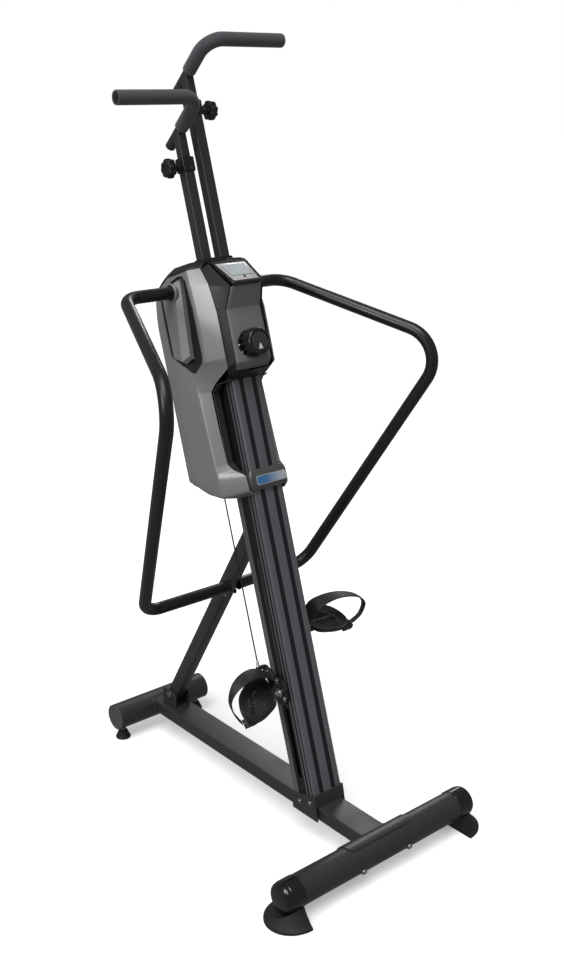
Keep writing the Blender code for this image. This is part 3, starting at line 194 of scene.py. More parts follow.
# ---- Procedural materials -------------------------------------------------------------
class Look:
    """A Principled material with a few helpers for its procedural detail."""

    def __init__(self, name, colour, roughness, metallic=0.0, coat=0.0, specular=0.5):
        self.material = bpy.data.materials.new(name)
        self.material.use_nodes = True
        self.nodes = self.material.node_tree.nodes
        self.shader = self.nodes["Principled BSDF"]
        self.colour, self.roughness = colour, roughness
        self.set("Base Color", (*colour, 1))
        self.set("Roughness", roughness)
        self.set("Metallic", metallic)
        self.set("Coat Weight", coat)
        self.set("Specular IOR Level", specular)
        self.height = None

    def set(self, socket, value):
        self.shader.inputs[socket].default_value = value

    def link(self, output, target):
        self.material.node_tree.links.new(output, target)

    def node(self, kind, **values):
        made = self.nodes.new(kind)
        for key, value in values.items():
            setattr(made, key, value)
        return made

    def noise(self, scale, detail=2.0, stretch=(1, 1, 1), roughness=0.5):
        place = self.node("ShaderNodeTexCoord")
        mapping = self.node("ShaderNodeMapping")
        mapping.inputs["Scale"].default_value = stretch
        texture = self.node("ShaderNodeTexNoise")
        texture.inputs["Scale"].default_value = scale
        texture.inputs["Detail"].default_value = detail
        texture.inputs["Roughness"].default_value = roughness
        self.link(place.outputs["Object"], mapping.inputs["Vector"])
        self.link(mapping.outputs["Vector"], texture.inputs["Vector"])
        return texture.outputs["Fac"]

    def cells(self, scale, feature="F1"):
        place = self.node("ShaderNodeTexCoord")
        texture = self.node("ShaderNodeTexVoronoi", feature=feature)
        texture.inputs["Scale"].default_value = scale
        self.link(place.outputs["Object"], texture.inputs["Vector"])
        return texture.outputs["Distance"]

    def spread(self, source, low, high, start=0.3, end=0.7):
        ramp = self.node("ShaderNodeMapRange")
        for socket, value in (("From Min", start), ("From Max", end), ("To Min", low),
                              ("To Max", high)):
            ramp.inputs[socket].default_value = value
        self.link(source, ramp.inputs["Value"])
        return ramp.outputs["Result"]

    def vary_colour(self, source, amount):
        """Shades the colour up and down by a share, following source."""
        mix = self.node("ShaderNodeMix", data_type="RGBA")
        low = [c * (1 - amount) for c in self.colour]
        high = [min(1, c * (1 + amount)) for c in self.colour]
        mix.inputs["A"].default_value = (*low, 1)
        mix.inputs["B"].default_value = (*high, 1)
        self.link(self.spread(source, 0, 1), mix.inputs["Factor"])
        self.link(mix.outputs["Result"], self.shader.inputs["Base Color"])
        return self

    def vary_roughness(self, source, amount):
        value = self.spread(source, self.roughness - amount, self.roughness + amount)
        self.link(value, self.shader.inputs["Roughness"])
        return self

    def bump(self, source, strength, distance=0.0003):
        bump = self.node("ShaderNodeBump")
        bump.inputs["Strength"].default_value = strength
        bump.inputs["Distance"].default_value = distance
        self.link(source, bump.inputs["Height"])
        if self.height:
            self.link(self.height, bump.inputs["Normal"])
        self.height = bump.outputs["Normal"]
        self.link(self.height, self.shader.inputs["Normal"])
        return self


def powder_coat(name, colour, roughness):
    look = Look(name, colour, roughness, specular=0.5)
    look.bump(look.noise(1100, 2), 0.35, 0.00025)
    look.vary_colour(look.noise(420, 3), 0.16)
    look.vary_roughness(look.noise(9, 3), 0.05)
    return look.material


def moulded(name, colour, roughness, grain=1800, depth=0.25, coat=0.0):
    look = Look(name, colour, roughness, coat=coat)
    look.bump(look.cells(grain), depth, 0.0002)
    look.vary_roughness(look.noise(14, 3), 0.05)
    look.vary_colour(look.noise(6, 2), 0.08)
    return look.material


def anodised(name, colour, roughness):
    look = Look(name, colour, roughness, metallic=0.55)
    streak = look.noise(900, 2, (1, 1, 0.012))
    look.bump(streak, 0.22, 0.0002)
    look.vary_colour(streak, 0.10)
    look.vary_roughness(look.noise(7, 3, (1, 1, 0.3)), 0.04)
    return look.material


def metallic_paint(name, colour, roughness):
    look = Look(name, colour, roughness, metallic=0.35, coat=0.15)
    look.set("Coat Roughness", 0.25)
    look.vary_colour(look.noise(2600, 1), 0.14)
    look.bump(look.noise(700, 2), 0.10, 0.0002)
    look.vary_roughness(look.noise(5, 3), 0.04)
    return look.material


def zinc(name, colour, roughness):
    look = Look(name, colour, roughness, metallic=1.0)
    look.vary_roughness(look.noise(160, 3), 0.08)
    look.bump(look.noise(500, 2), 0.12, 0.0002)
    return look.material


def foam(name, colour):
    look = Look(name, colour, 0.88, specular=0.35)
    look.set("Sheen Weight", 0.25)
    look.set("Sheen Roughness", 0.5)
    look.bump(look.cells(1500), 0.6, 0.0004)
    look.bump(look.noise(90, 3), 0.25, 0.0006)
    look.vary_colour(look.noise(700, 3), 0.25)
    return look.material


def turned_iron(name, colour):
    look = Look(name, colour, 0.45, metallic=0.9)
    look.bump(look.noise(60, 4), 0.3, 0.0005)
    look.vary_colour(look.noise(30, 3), 0.2)
    return look.material


def fading_paint(name, first, last, roughness, start, end):
    """Glossy enamel that fades from one colour to another along the piece's own X."""
    look = Look(name, first, roughness, metallic=0.2, coat=0.4)
    place = look.node("ShaderNodeTexCoord")
    split = look.node("ShaderNodeSeparateXYZ")
    look.link(place.outputs["Object"], split.inputs["Vector"])
    share = look.spread(split.outputs["X"], 0, 1, start, end)
    fade = look.node("ShaderNodeMix", data_type="RGBA")
    fade.inputs["A"].default_value = (*first, 1)
    fade.inputs["B"].default_value = (*last, 1)
    look.link(share, fade.inputs["Factor"])
    look.link(fade.outputs["Result"], look.shader.inputs["Base Color"])
    look.bump(look.noise(600, 2), 0.08, 0.0002)
    return look.material


FRAME = powder_coat("frame_paint", (0.0270, 0.0262, 0.0280), 0.40)
BAR = powder_coat("bar_paint", (0.0075, 0.0073, 0.0082), 0.34)
LAND = anodised("column_land", (0.1650, 0.1600, 0.1780), 0.42)
GROOVE = anodised("column_groove", (0.0180, 0.0170, 0.0210), 0.50)
SILVER = metallic_paint("silver_cover", (0.270, 0.262, 0.256), 0.40)
GUNMETAL = metallic_paint("gunmetal_collar", (0.095, 0.093, 0.092), 0.34)
BLACK = moulded("black_moulding", (0.0060, 0.0060, 0.0064), 0.46, depth=0.15)
GLOSS = moulded("gloss_black", (0.0040, 0.0040, 0.0044), 0.20, depth=0.03, coat=0.25)
PANEL = moulded("recess_panel", (0.0300, 0.0310, 0.0300), 0.50, depth=0.25)
CONSOLE = moulded("console_texture", (0.1700, 0.1660, 0.1780), 0.48, grain=1300, depth=0.5)
PLUG = moulded("plug_grey", (0.070, 0.070, 0.071), 0.5, depth=0.3)
RUBBER = moulded("rubber", (0.0050, 0.0050, 0.0054), 0.66, grain=900, depth=0.35)
TREAD = moulded("pedal_resin", (0.0085, 0.0085, 0.0095), 0.44, depth=0.25)
STRAP = moulded("strap", (0.0110, 0.0110, 0.0120), 0.48, grain=1000, depth=0.3)
FOAM = foam("grip_foam", (0.0700, 0.0670, 0.0760))
STEEL = zinc("zinc_steel", (0.36, 0.36, 0.37), 0.34)
DARK_STEEL = zinc("dark_steel", (0.14, 0.14, 0.15), 0.38)
IRON = turned_iron("flywheel_iron", (0.10, 0.10, 0.10))
CABLE = moulded("cable_sheath", (0.0060, 0.0060, 0.0065), 0.45, grain=2500)
PLATE = metallic_paint("display_plate", (0.58, 0.58, 0.58), 0.34)
LCD = moulded("display_glass", (0.46, 0.51, 0.52), 0.22, grain=3000, depth=0.02, coat=0.2)
# White for the knob's pointer and dots, and for the painted highlights on the plate behind it.
WHITE = moulded("white_marks_and_painted_highlights", (0.70, 0.70, 0.68), 0.40, depth=0.1)
BADGE = fading_paint("badge_enamel", (0.050, 0.190, 0.420), (0.48, 0.52, 0.58), 0.26,
                     -0.016, 0.030)


# ---- Mesh makers ----------------------------------------------------------------------
def mesh_of(verts, faces, recalc=True):
    mesh = bpy.data.meshes.new("piece")
    mesh.from_pydata([tuple(v) for v in verts], [], faces)
    if recalc:
        shape = bmesh.new()
        shape.from_mesh(mesh)
        bmesh.ops.recalc_face_normals(shape, faces=shape.faces)
        shape.to_mesh(mesh)
        shape.free()
    return mesh


def loft(rows, ring=False, caps=False):
    """Quads through rows of points; ring closes each row, caps closes both ends."""
    count = len(rows[0])
    verts = [p for row in rows for p in row]
    faces = []
    for r in range(len(rows) - 1):
        for i in range(count if ring else count - 1):
            j = (i + 1) % count
            faces.append((r * count + i, r * count + j, (r + 1) * count + j,
                          (r + 1) * count + i))
    if caps:
        faces.append(tuple(range(count)))
        faces.append(tuple(range((len(rows) - 1) * count, len(rows) * count)))
    return mesh_of(verts, faces)


def prism(outline, low, high):
    """A solid with an outline in local XY, from low to high along local Z."""
    return loft([[(x, y, z) for x, y in outline] for z in (low, high)], True, True)


def side_prism(outline, low, high):
    """A solid with an outline in local YZ, from low to high along local X."""
    mesh = prism(outline, low, high)
    mesh.transform(SIDEWAYS)
    return mesh


def box(low, high):
    outline = [(low[0], low[1]), (high[0], low[1]), (high[0], high[1]), (low[0], high[1])]
    return prism(outline, low[2], high[2])


def lathe(profile, steps=48, closed=False):
    """Turns (radius, height) points about local Z."""
    verts, rings, faces = [], [], []
    for radius, height in profile:
        if radius < 1e-7:
            rings.append([len(verts)] * steps)
            verts.append((0, 0, height))
        else:
            rings.append(list(range(len(verts), len(verts) + steps)))
            verts += [(radius * math.cos(2 * math.pi * i / steps),
                       radius * math.sin(2 * math.pi * i / steps), height)
                      for i in range(steps)]
    pairs = list(zip(rings, rings[1:])) + ([(rings[-1], rings[0])] if closed else [])
    for low, high in pairs:
        for i in range(steps):
            j = (i + 1) % steps
            corners = dict.fromkeys((low[i], low[j], high[j], high[i]))
            if len(corners) > 2:
                faces.append(tuple(corners))
    return mesh_of(verts, faces)


def sweep(path, radius, steps=24, inner=0.0, widths=None):
    """A round tube along a path, solid or with an inner wall."""
    path = [Vector(p) for p in path]
    tangents = []
    for i in range(len(path)):
        ahead = path[min(i + 1, len(path) - 1)] - path[i]
        behind = path[i] - path[max(i - 1, 0)]
        tangents.append((ahead.normalized() + behind.normalized()).normalized())
    side = tangents[0].orthogonal().normalized()
    rows, inner_rows = [], []
    for i, (point, tangent) in enumerate(zip(path, tangents)):
        side = (side - tangent * side.dot(tangent)).normalized()
        other = tangent.cross(side)
        here = radius * (widths[i] if widths else 1)
        angles = [2 * math.pi * k / steps for k in range(steps)]
        rows.append([point + here * (side * math.cos(a) + other * math.sin(a))
                     for a in angles])
        inner_rows.append([point + inner * (side * math.cos(a) + other * math.sin(a))
                           for a in angles])
    if not inner:
        return loft(rows, True, True)
    return ring_loft(rows + list(reversed(inner_rows)))


def ring_loft(rows):
    """A loft whose last row joins back to its first, such as a tube with a wall."""
    count, total = len(rows[0]), len(rows)
    faces = []
    for r in range(total):
        for i in range(count):
            j, n = (i + 1) % count, (r + 1) % total
            faces.append((r * count + i, r * count + j, n * count + j, n * count + i))
    return mesh_of([p for row in rows for p in row], faces)


def rounded(points, radii, steps=4, closed=True):
    """A polyline with its corners turned on arcs. radii is one value or one a corner."""
    points = [Vector(p) for p in points]
    count = len(points)
    radii = list(radii) if hasattr(radii, "__len__") else [radii] * count
    made = []
    for i, corner in enumerate(points):
        radius = radii[i]
        if radius <= 0 or (not closed and i in (0, count - 1)):
            made.append(corner)
            continue
        before = (points[i - 1] - corner).normalized()
        after = (points[(i + 1) % count] - corner).normalized()
        half = before.angle(after) / 2
        if abs(half - math.pi / 2) < 0.01:
            made.append(corner)
            continue
        centre = corner + (before + after).normalized() * (radius / math.sin(half))
        start = corner + before * (radius / math.tan(half)) - centre
        end = corner + after * (radius / math.tan(half)) - centre
        for step in range(steps + 1):
            share = step / steps
            turn = (math.pi - 2 * half)
            a = math.sin((1 - share) * turn) / math.sin(turn)
            b = math.sin(share * turn) / math.sin(turn)
            made.append(centre + start * a + end * b)
    return [tuple(p) for p in made]


def rounded_flat(half_x, half_y, radius, centre=(0, 0), steps=4):
    """A rectangle with rounded corners, as points in a plane."""
    corners = ((half_x, half_y), (-half_x, half_y), (-half_x, -half_y), (half_x, -half_y))
    points = [(x + centre[0], y + centre[1], 0) for x, y in corners]
    return [p[:2] for p in rounded(points, radius, steps)]


def lobed(radius, depth, lobes, steps=10, sharpness=1.0):
    count = lobes * steps
    out = []
    for i in range(count):
        wave = 0.5 - 0.5 * math.cos(2 * math.pi * i / steps)
        here = radius - depth * wave ** sharpness
        out.append((here * math.cos(2 * math.pi * i / count),
                    here * math.sin(2 * math.pi * i / count)))
    return out


def offset_ring(outline, scale, z, centre=(0, 0)):
    return [(centre[0] + (x - centre[0]) * scale, centre[1] + (y - centre[1]) * scale, z)
            for x, y in outline]


# ---- Placing pieces ---------------------------------------------------------------------
def show(name, mesh, look, place, body, stands_for=(), bevel=0.0, segments=3, angle=32,
         sharp=38):
    """A finished piece, in its place, riding on a body."""
    obj = bpy.data.objects.new(name, mesh)
    bpy.context.scene.collection.objects.link(obj)
    obj.matrix_world = place
    for material in (look if isinstance(look, (list, tuple)) else [look]):
        mesh.materials.append(material)
    mesh.shade_smooth()
    if bevel:
        edge = obj.modifiers.new("edge", "BEVEL")
        edge.width = bevel
        edge.segments = segments
        edge.limit_method = "ANGLE"
        edge.angle_limit = math.radians(angle)
        edge.harden_normals = True
        edge.use_clamp_overlap = True
    elif sharp:
        mesh.set_sharp_from_angle(angle=math.radians(sharp))
    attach(obj, body)
    if stands_for:
        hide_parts(*([stands_for] if isinstance(stands_for, str) else stands_for))
    return obj


def thicken(mesh, wall, outwards):
    """The solid shell of an open sheet, thickened away from a point outside it."""
    middle = mesh.polygons[len(mesh.polygons) // 2]
    if middle.normal.dot(Vector(outwards) - middle.center) < 0:
        mesh.flip_normals()
    return applied(mesh, "SOLIDIFY", thickness=wall, offset=-1, use_even_offset=True)


def smooth_route(points, steps, closed=False):
    """Points along a Catmull-Rom curve through the given ones."""
    count, route = len(points), []
    for i in range(count if closed else count - 1):
        if closed:
            near = [Vector(points[(i + k) % count]) for k in (-1, 0, 1, 2)]
        else:
            near = [Vector(points[min(max(i + k, 0), count - 1)]) for k in (-1, 0, 1, 2)]
        before, start, end, after = near
        for step in range(steps):
            t = step / steps
            route.append(0.5 * (2 * start + (end - before) * t
                                + (2 * before - 5 * start + 4 * end - after) * t ** 2
                                + (3 * start - before - 3 * end + after) * t ** 3))
    if not closed:
        route.append(Vector(points[-1]))
    return route


def applied(mesh, kind, **settings):
    """A mesh with one modifier applied."""
    holder = bpy.data.objects.new("holder", mesh)
    bpy.context.scene.collection.objects.link(holder)
    modifier = holder.modifiers.new("change", kind)
    for key, value in settings.items():
        setattr(modifier, key, value)
    graph = bpy.context.evaluated_depsgraph_get()
    made = bpy.data.meshes.new_from_object(holder.evaluated_get(graph))
    bpy.data.objects.remove(holder, do_unlink=True)
    return made


def combined(mesh, tool, operation="DIFFERENCE"):
    """One mesh cut by, joined to or kept within another."""
    cutter = bpy.data.objects.new("tool", tool)
    bpy.context.scene.collection.objects.link(cutter)
    made = applied(mesh, "BOOLEAN", operation=operation, object=cutter)
    bpy.data.objects.remove(cutter, do_unlink=True)
    return made


def moved(mesh, matrix):
    mesh.transform(matrix)
    if matrix.determinant() < 0:
        mesh.flip_normals()
    return mesh


def mirrored(mesh, sign):
    return moved(mesh, Matrix.Diagonal((-1, 1, 1, 1))) if sign < 0 else mesh


def joined(*meshes):
    """Several meshes as one, for details that share a material and a body."""
    shape = bmesh.new()
    for mesh in meshes:
        shape.from_mesh(mesh)
    made = bpy.data.meshes.new("piece")
    shape.to_mesh(made)
    shape.free()
    return made


def bolt_head(radius=0.0062, height=0.004, washer=0.0085):
    """A pan head on its washer, with a cross recess, standing on local Z."""
    top = [(washer, 0), (washer, 0.0009), (radius, 0.0010), (radius, 0.0014 + height * 0.35)]
    top += [(radius * math.cos(a), 0.0014 + height * (0.35 + 0.65 * math.sin(a)))
            for a in (math.radians(d) for d in (15, 30, 45, 60, 75))]
    head = lathe(top + [(0, 0.0014 + height)], 28)
    arm, deep = radius * 0.62, 0.0014 + height * 0.5
    for half_x, half_y in ((arm, radius * 0.13), (radius * 0.13, arm)):
        head = combined(head, box((-half_x, -half_y, deep), (half_x, half_y, 1)))
    return head


def hex_bolt(flat=0.0065, height=0.0045, washer=0.0095):
    """A hexagon head on its washer, standing on local Z."""
    hexagon = [(flat * 1.1547 * math.cos(math.pi * i / 3),
                flat * 1.1547 * math.sin(math.pi * i / 3)) for i in range(6)]
    head = prism(hexagon, 0.0010, 0.0010 + height)
    crown = lathe([(0, 0.0010), (flat * 1.16, 0.0010), (flat * 1.16, 0.0010 + height * 0.72),
                   (flat * 0.90, 0.0010 + height), (0, 0.0010 + height)], 36)
    head = combined(head, crown, "INTERSECT")
    disc = lathe([(0, 0), (washer, 0), (washer, 0.0013), (0, 0.0013)], 32)
    return joined(head, disc)


# ---- Floor frame --------------------------------------------------------------------------
def tube_about_x(name, radius, wall, half, place, body, stands_for, look=FRAME):
    inner = radius - wall
    mesh = lathe([(radius, -half), (radius, half), (inner, half), (inner, -half)], 96, True)
    return show(name, mesh, look, place @ ALONG_X, body, stands_for)


def front_stabiliser():
    place = Matrix.Translation((0, FRONT_Y, FRONT_Z))
    tube_about_x("front_tube", TUBE_R, 0.002, FRONT_HALF, place, "frame",
                 "front_stabiliser_tube")
    for side, sign in SIDES.items():
        length = CAP_END - CAP_X
        inner = TUBE_R + 0.0003
        rim = [(CAP_R - 0.0008, 0), (CAP_R, 0.0008), (CAP_R, 0.0355)]
        nose = [(CAP_R - 0.0014, 0.0368), (CAP_R - 0.0014, 0.0385)]
        for step in range(9):
            angle = math.pi / 2 * step / 8
            nose.append((0.0265 + 0.0119 * math.cos(angle), 0.0410 + 0.0120 * math.sin(angle)))
        face = [(0.018, length - 0.0008), (0, length)]
        profile = [(0, 0.0353), (inner, 0.0353), (inner, 0)] + rim + nose + face
        turn = ALONG_X if sign > 0 else Matrix.Rotation(-math.pi / 2, 4, "Y")
        show(f"cap_{side}", lathe(profile, 72), GLOSS,
             Matrix.Translation((sign * CAP_X, FRONT_Y, FRONT_Z)) @ turn, "frame",
             f"front_cap_{side}")
        front_foot(side, sign)


def front_foot(side, sign):
    """A flared rubber half-dome with a thin tread lip, hollowed to sit under the cap."""
    steps = 36
    rings = ((0, 0.0745, 0.0665), (0.0012, FOOT_REACH, FOOT_HALF),
             (0.0058, FOOT_REACH, FOOT_HALF), (0.0070, 0.0752, 0.0672),
             (0.0078, 0.0725, 0.0650), (0.0125, 0.0674, 0.0600), (0.0200, 0.0620, 0.0550),
             (0.0290, 0.0560, 0.0475), (0.0380, 0.0505, 0.0415), (0.0460, 0.0480, 0.0380))
    rows = []
    for height, reach, half in rings:
        arc = [math.pi * i / steps - math.pi / 2 for i in range(steps + 1)]
        rows.append([(sign * (FOOT_X + reach * math.cos(a)), FRONT_Y + half * math.sin(a),
                      height) for a in arc])
    mesh = loft(rows, True, True)
    bore = sweep([(-0.4, FRONT_Y, FRONT_Z), (0.4, FRONT_Y, FRONT_Z)], CAP_R + 0.0003, 96)
    show(f"foot_{side}", combined(mesh, bore), RUBBER, WORLD, "frame",
         f"front_foot_{side}")


def rear_stabiliser():
    place = Matrix.Translation((0, REAR_Y, REAR_Z))
    tube_about_x("rear_tube", TUBE_R, 0.002, REAR_HALF, place, "frame",
                 "rear_stabiliser_tube")
    for side, sign in SIDES.items():
        turn = ALONG_X if sign > 0 else Matrix.Rotation(-math.pi / 2, 4, "Y")
        profile = [(0, -0.010), (0.0355, -0.010), (0.0355, 0.0003), (TUBE_R, 0.0003),
                   (TUBE_R, 0.0022), (TUBE_R - 0.0009, 0.0030), (0.0335, 0.0030),
                   (0.0325, 0.0022), (0, 0.0022)]
        show(f"plug_{side}", lathe(profile, 72), PLUG,
             Matrix.Translation((sign * REAR_HALF, REAR_Y, REAR_Z)) @ turn, "frame",
             f"rear_plug_{side}")
        levelling_foot(side, sign)


def levelling_foot(side, sign):
    body = f"{side}_levelling_foot"
    place = Matrix.Translation((sign * LEVEL_X, REAR_Y, 0))
    pad = [(0, 0), (0.0212, 0), (0.022, 0.0008), (0.022, 0.0040), (0.0212, 0.0052),
           (0.0196, 0.0062), (0.0172, 0.0130), (0.0138, 0.0215), (0.0128, 0.0238),
           (0.0120, 0.0244), (0, 0.0244)]
    show(f"levelling_pad_{side}", lathe(pad, 48), RUBBER, place, body,
         f"levelling_foot_{side}")
    stem, z = [(0, 0.0240), (0.0046, 0.0240)], 0.0295
    while z < 0.057:
        stem += [(0.0040, z), (0.0048, z + 0.0006)]
        z += 0.0012
    show(f"levelling_stem_{side}", lathe(stem + [(0, 0.058)], 20), STEEL, place, body)
    nut = prism([(0.0088 * math.cos(math.pi * i / 3), 0.0088 * math.sin(math.pi * i / 3))
                 for i in range(6)], 0.0246, 0.0298)
    show(f"levelling_nut_{side}", nut, STEEL, place, body, bevel=0.0005)


def beam_and_saddle():
    half = (BEAM_TOP - BEAM_LOW) / 2
    mesh = prism(rounded_flat(BEAM_HALF, half, 0.0045, steps=6), FRONT_Y + 0.010,
                 REAR_Y - 0.010)
    mesh.transform(ALONG_Y)
    place = Matrix.Translation((0, 0, BEAM_TOP - half))
    for y, z, radius in ((FRONT_Y, FRONT_Z, SADDLE_R - 0.001), (REAR_Y, REAR_Z, TUBE_R)):
        bore = sweep([(-0.1, y, z - BEAM_TOP + half), (0.1, y, z - BEAM_TOP + half)],
                     radius + 0.0002, 96)
        mesh = combined(mesh, bore)
    show("beam", mesh, FRAME, place, "frame", "base_beam")
    saddle()
    for name, y, z, radius in (("front_weld", FRONT_Y, FRONT_Z, SADDLE_R),
                               ("rear_weld", REAR_Y, REAR_Z, TUBE_R)):
        sign = 1 if y < 0 else -1
        top = math.asin((BEAM_TOP - z) / radius)
        low = math.asin((BEAM_LOW + 0.004 - z) / radius)
        side = [(radius * math.cos(low + (top - low) * i / 10),
                 radius * math.sin(low + (top - low) * i / 10)) for i in range(10)]
        run = [(-BEAM_HALF, y + sign * a, z + b) for a, b in side]
        crest = (y + sign * radius * math.cos(top), BEAM_TOP)
        run += [(BEAM_HALF * (i - 8) / 8 * 0.97, crest[0], crest[1]) for i in range(17)]
        run += [(BEAM_HALF, y + sign * a, z + b) for a, b in reversed(side)]
        show(name, weld(run), FRAME, WORLD, "frame")


def weld(run, size=0.0021):
    """A bead with the small ripples of a hand weld."""
    fine = []
    for a, b in zip(run, run[1:]):
        a, b = Vector(a), Vector(b)
        parts = max(1, round((b - a).length / 0.0011))
        fine += [a.lerp(b, i / parts) for i in range(parts)]
    fine.append(Vector(run[-1]))
    widths = [1 + 0.14 * math.sin(i * 2.1) for i in range(len(fine))]
    return sweep(fine, size, 8, widths=widths)


def saddle():
    """The curved plate that hugs the front tube, with rounded front corners."""
    low, high, steps, corner = math.radians(-35), math.radians(113), 60, 0.016
    rows = []
    for i in range(steps + 1):
        angle = low + (high - low) * i / steps
        half = SADDLE_HALF
        for end in (low, high):
            reach = abs(angle - end) * SADDLE_R
            if reach < corner:
                half = SADDLE_HALF - corner + math.sqrt(corner ** 2 - (corner - reach) ** 2)
        rows.append([(half * t / 12, SADDLE_R * math.cos(angle), SADDLE_R * math.sin(angle))
                     for t in range(-12, 13)])
    mesh = thicken(loft(rows), SADDLE_R - TUBE_R - 0.0003, (0, 0.2, 0.2))
    place = Matrix.Translation((0, FRONT_Y, FRONT_Z))
    show("saddle", mesh, FRAME, place, "frame", "base_beam")
    for i, x in enumerate((-0.078, 0.078)):
        turn = Matrix.Rotation(math.radians(118), 4, "X")
        spot = place @ Matrix.Translation((x, 0, 0)) @ turn @ Matrix.Translation((0, 0, TUBE_R))
        show(f"saddle_bolt_{i}", hex_bolt(), STEEL, spot, "frame")


def column_socket():
    low, back = 0.068, COLUMN_DEPTH + 0.0035
    top_front = COLUMN @ Vector((0, -0.0035, SOCKET_TOP))
    top_back = COLUMN @ Vector((0, back, SOCKET_TOP))
    outline = rounded([(top_front.y - 0.014, low, 0), (top_back.y - 0.003, low, 0),
                       (top_back.y, top_back.z, 0), (top_front.y, top_front.z, 0)],
                      0.0022, 4)
    shoe = side_prism([p[:2] for p in outline], -SOCKET_HALF, SOCKET_HALF)
    half = COLUMN_HALF + 0.0003
    bore = box((-half, -0.0003, -0.1), (half, COLUMN_DEPTH + 0.0003, 0.2))
    shoe = combined(shoe, moved(bore, COLUMN))
    half = BEAM_HALF + 0.0003
    shoe = combined(shoe, box((-half, -0.6, -0.1), (half, 0.6, BEAM_TOP + 0.0003)))
    show("socket", shoe, FRAME, WORLD, "frame", "column_socket", bevel=0.0011)
    for side, sign in SIDES.items():
        turn = Matrix.Rotation(sign * math.pi / 2, 4, "Y")
        for i, depth in enumerate((0.020, 0.062)):
            spot = COLUMN @ Matrix.Translation((sign * SOCKET_HALF, depth, 0.012)) @ turn
            show(f"socket_screw_{side}_{i}", bolt_head(0.0052, 0.0032, 0.0072), STEEL, spot,
                 "frame")


def column():
    """The extrusion: three lands on the front, a slotted channel down each side."""
    w, d, groove, channel = COLUMN_HALF, COLUMN_DEPTH, 0.0014, 0.0014
    half = [(0.0130, 0), (0.0136, groove), (0.0264, groove), (0.0270, 0), (w, 0),
            (w, 0.0060), (w - channel, 0.0066), (w - channel, 0.0094), (w, 0.0100),
            (w, 0.0180), (w - channel, 0.0186), (w - channel, 0.0244), (w, 0.0250),
            (w, 0.0298), (w - channel, 0.0306), (w - channel, 0.0614), (w, 0.0622), (w, d)]
    edge = [0.0005, 0.0003, 0.0003, 0.0005]
    radii = [0.0004, 0.0003, 0.0003, 0.0004, 0.0042] + edge * 3 + [0.004]
    outline = rounded([(x, y, 0) for x, y in half + [(-x, y) for x, y in reversed(half)]],
                      radii + radii[::-1], 5)
    inner = [(x, y, 0) for x, y in rounded_flat(w - 0.0026, d / 2 - 0.0026, 0.003,
                                                (0, d / 2))]
    base = -0.040
    shell = combined(prism([p[:2] for p in outline], base, COLUMN_TOP),
                     prism([p[:2] for p in inner], base - 0.01, COLUMN_TOP + 0.01))
    shell = combined(shell, moved(box((-0.1, -0.6, -0.1), (0.1, 0.2, BEAM_TOP + 0.0003)),
                                  COLUMN.inverted()))
    radius, slot = SLOT_WIDTH / 2, []
    for centre, start in ((SLOT_HIGH - radius, 0), (SLOT_LOW + radius, math.pi)):
        slot += [(SLOT_DEPTH + radius * math.cos(start + math.pi * i / 18),
                  centre + radius * math.sin(start + math.pi * i / 18)) for i in range(19)]
    shell = combined(shell, side_prism(slot, -0.07, 0.07))
    shell.materials.clear()
    post = show("column_extrusion", shell, [LAND, GROOVE], COLUMN, "frame", "column")
    for face in post.data.polygons:
        x, y = abs(face.center.x), face.center.y
        along_front = y < groove + 0.0002 and 0.0131 < x < 0.0269
        down_side = 0.04 < x < w - 0.0002 and 0.0058 < y < 0.0623
        hollow = x < w - 0.0025 and 0.0025 < y < d - 0.0025
        face.material_index = 1 if along_front or down_side or hollow else 0


def square_tube(half_x, half_y, wall, low, high, centre=(0, 0), radius=0.003):
    """A rounded rectangular tube along local Z, open at both ends."""
    outer = rounded_flat(half_x, half_y, radius, centre)
    inner = rounded_flat(half_x - wall, half_y - wall, max(radius - wall, 0.0006), centre)
    rows = [[(*p, low) for p in outer], [(*p, high) for p in outer],
            [(*p, high) for p in inner], [(*p, low) for p in inner]]
    return ring_loft(rows)


def brace():
    tube = square_tube(BRACE_HALF, BRACE_DEPTH / 2, 0.002, 0, 0.800, radius=0.004)
    face = COLUMN_DEPTH + 0.0003
    trim = box((-0.1, -0.2, 0.4), (0.1, face + 0.0015, 1.2))
    tube = combined(moved(tube, BRACE), moved(trim, COLUMN))
    show("brace", tube, FRAME, WORLD, "frame", "brace_tube")
    plate = prism(rounded_flat(0.030, 0.050, 0.006), 0, 0.003)
    spot = COLUMN @ Matrix.Translation((0, face, 0.740)) @ ALONG_Y
    show("brace_plate", plate, FRAME, spot, "frame", "brace_tube", bevel=0.0006)
    for i, (x, z) in enumerate(((-0.022, -0.040), (0.022, -0.040), (-0.022, 0.040),
                                (0.022, 0.040))):
        head = spot @ Matrix.Translation((x, z, 0.003))
        show(f"brace_plate_bolt_{i}", bolt_head(0.0048, 0.003, 0.0068), STEEL, head, "frame")
    brace_foot()


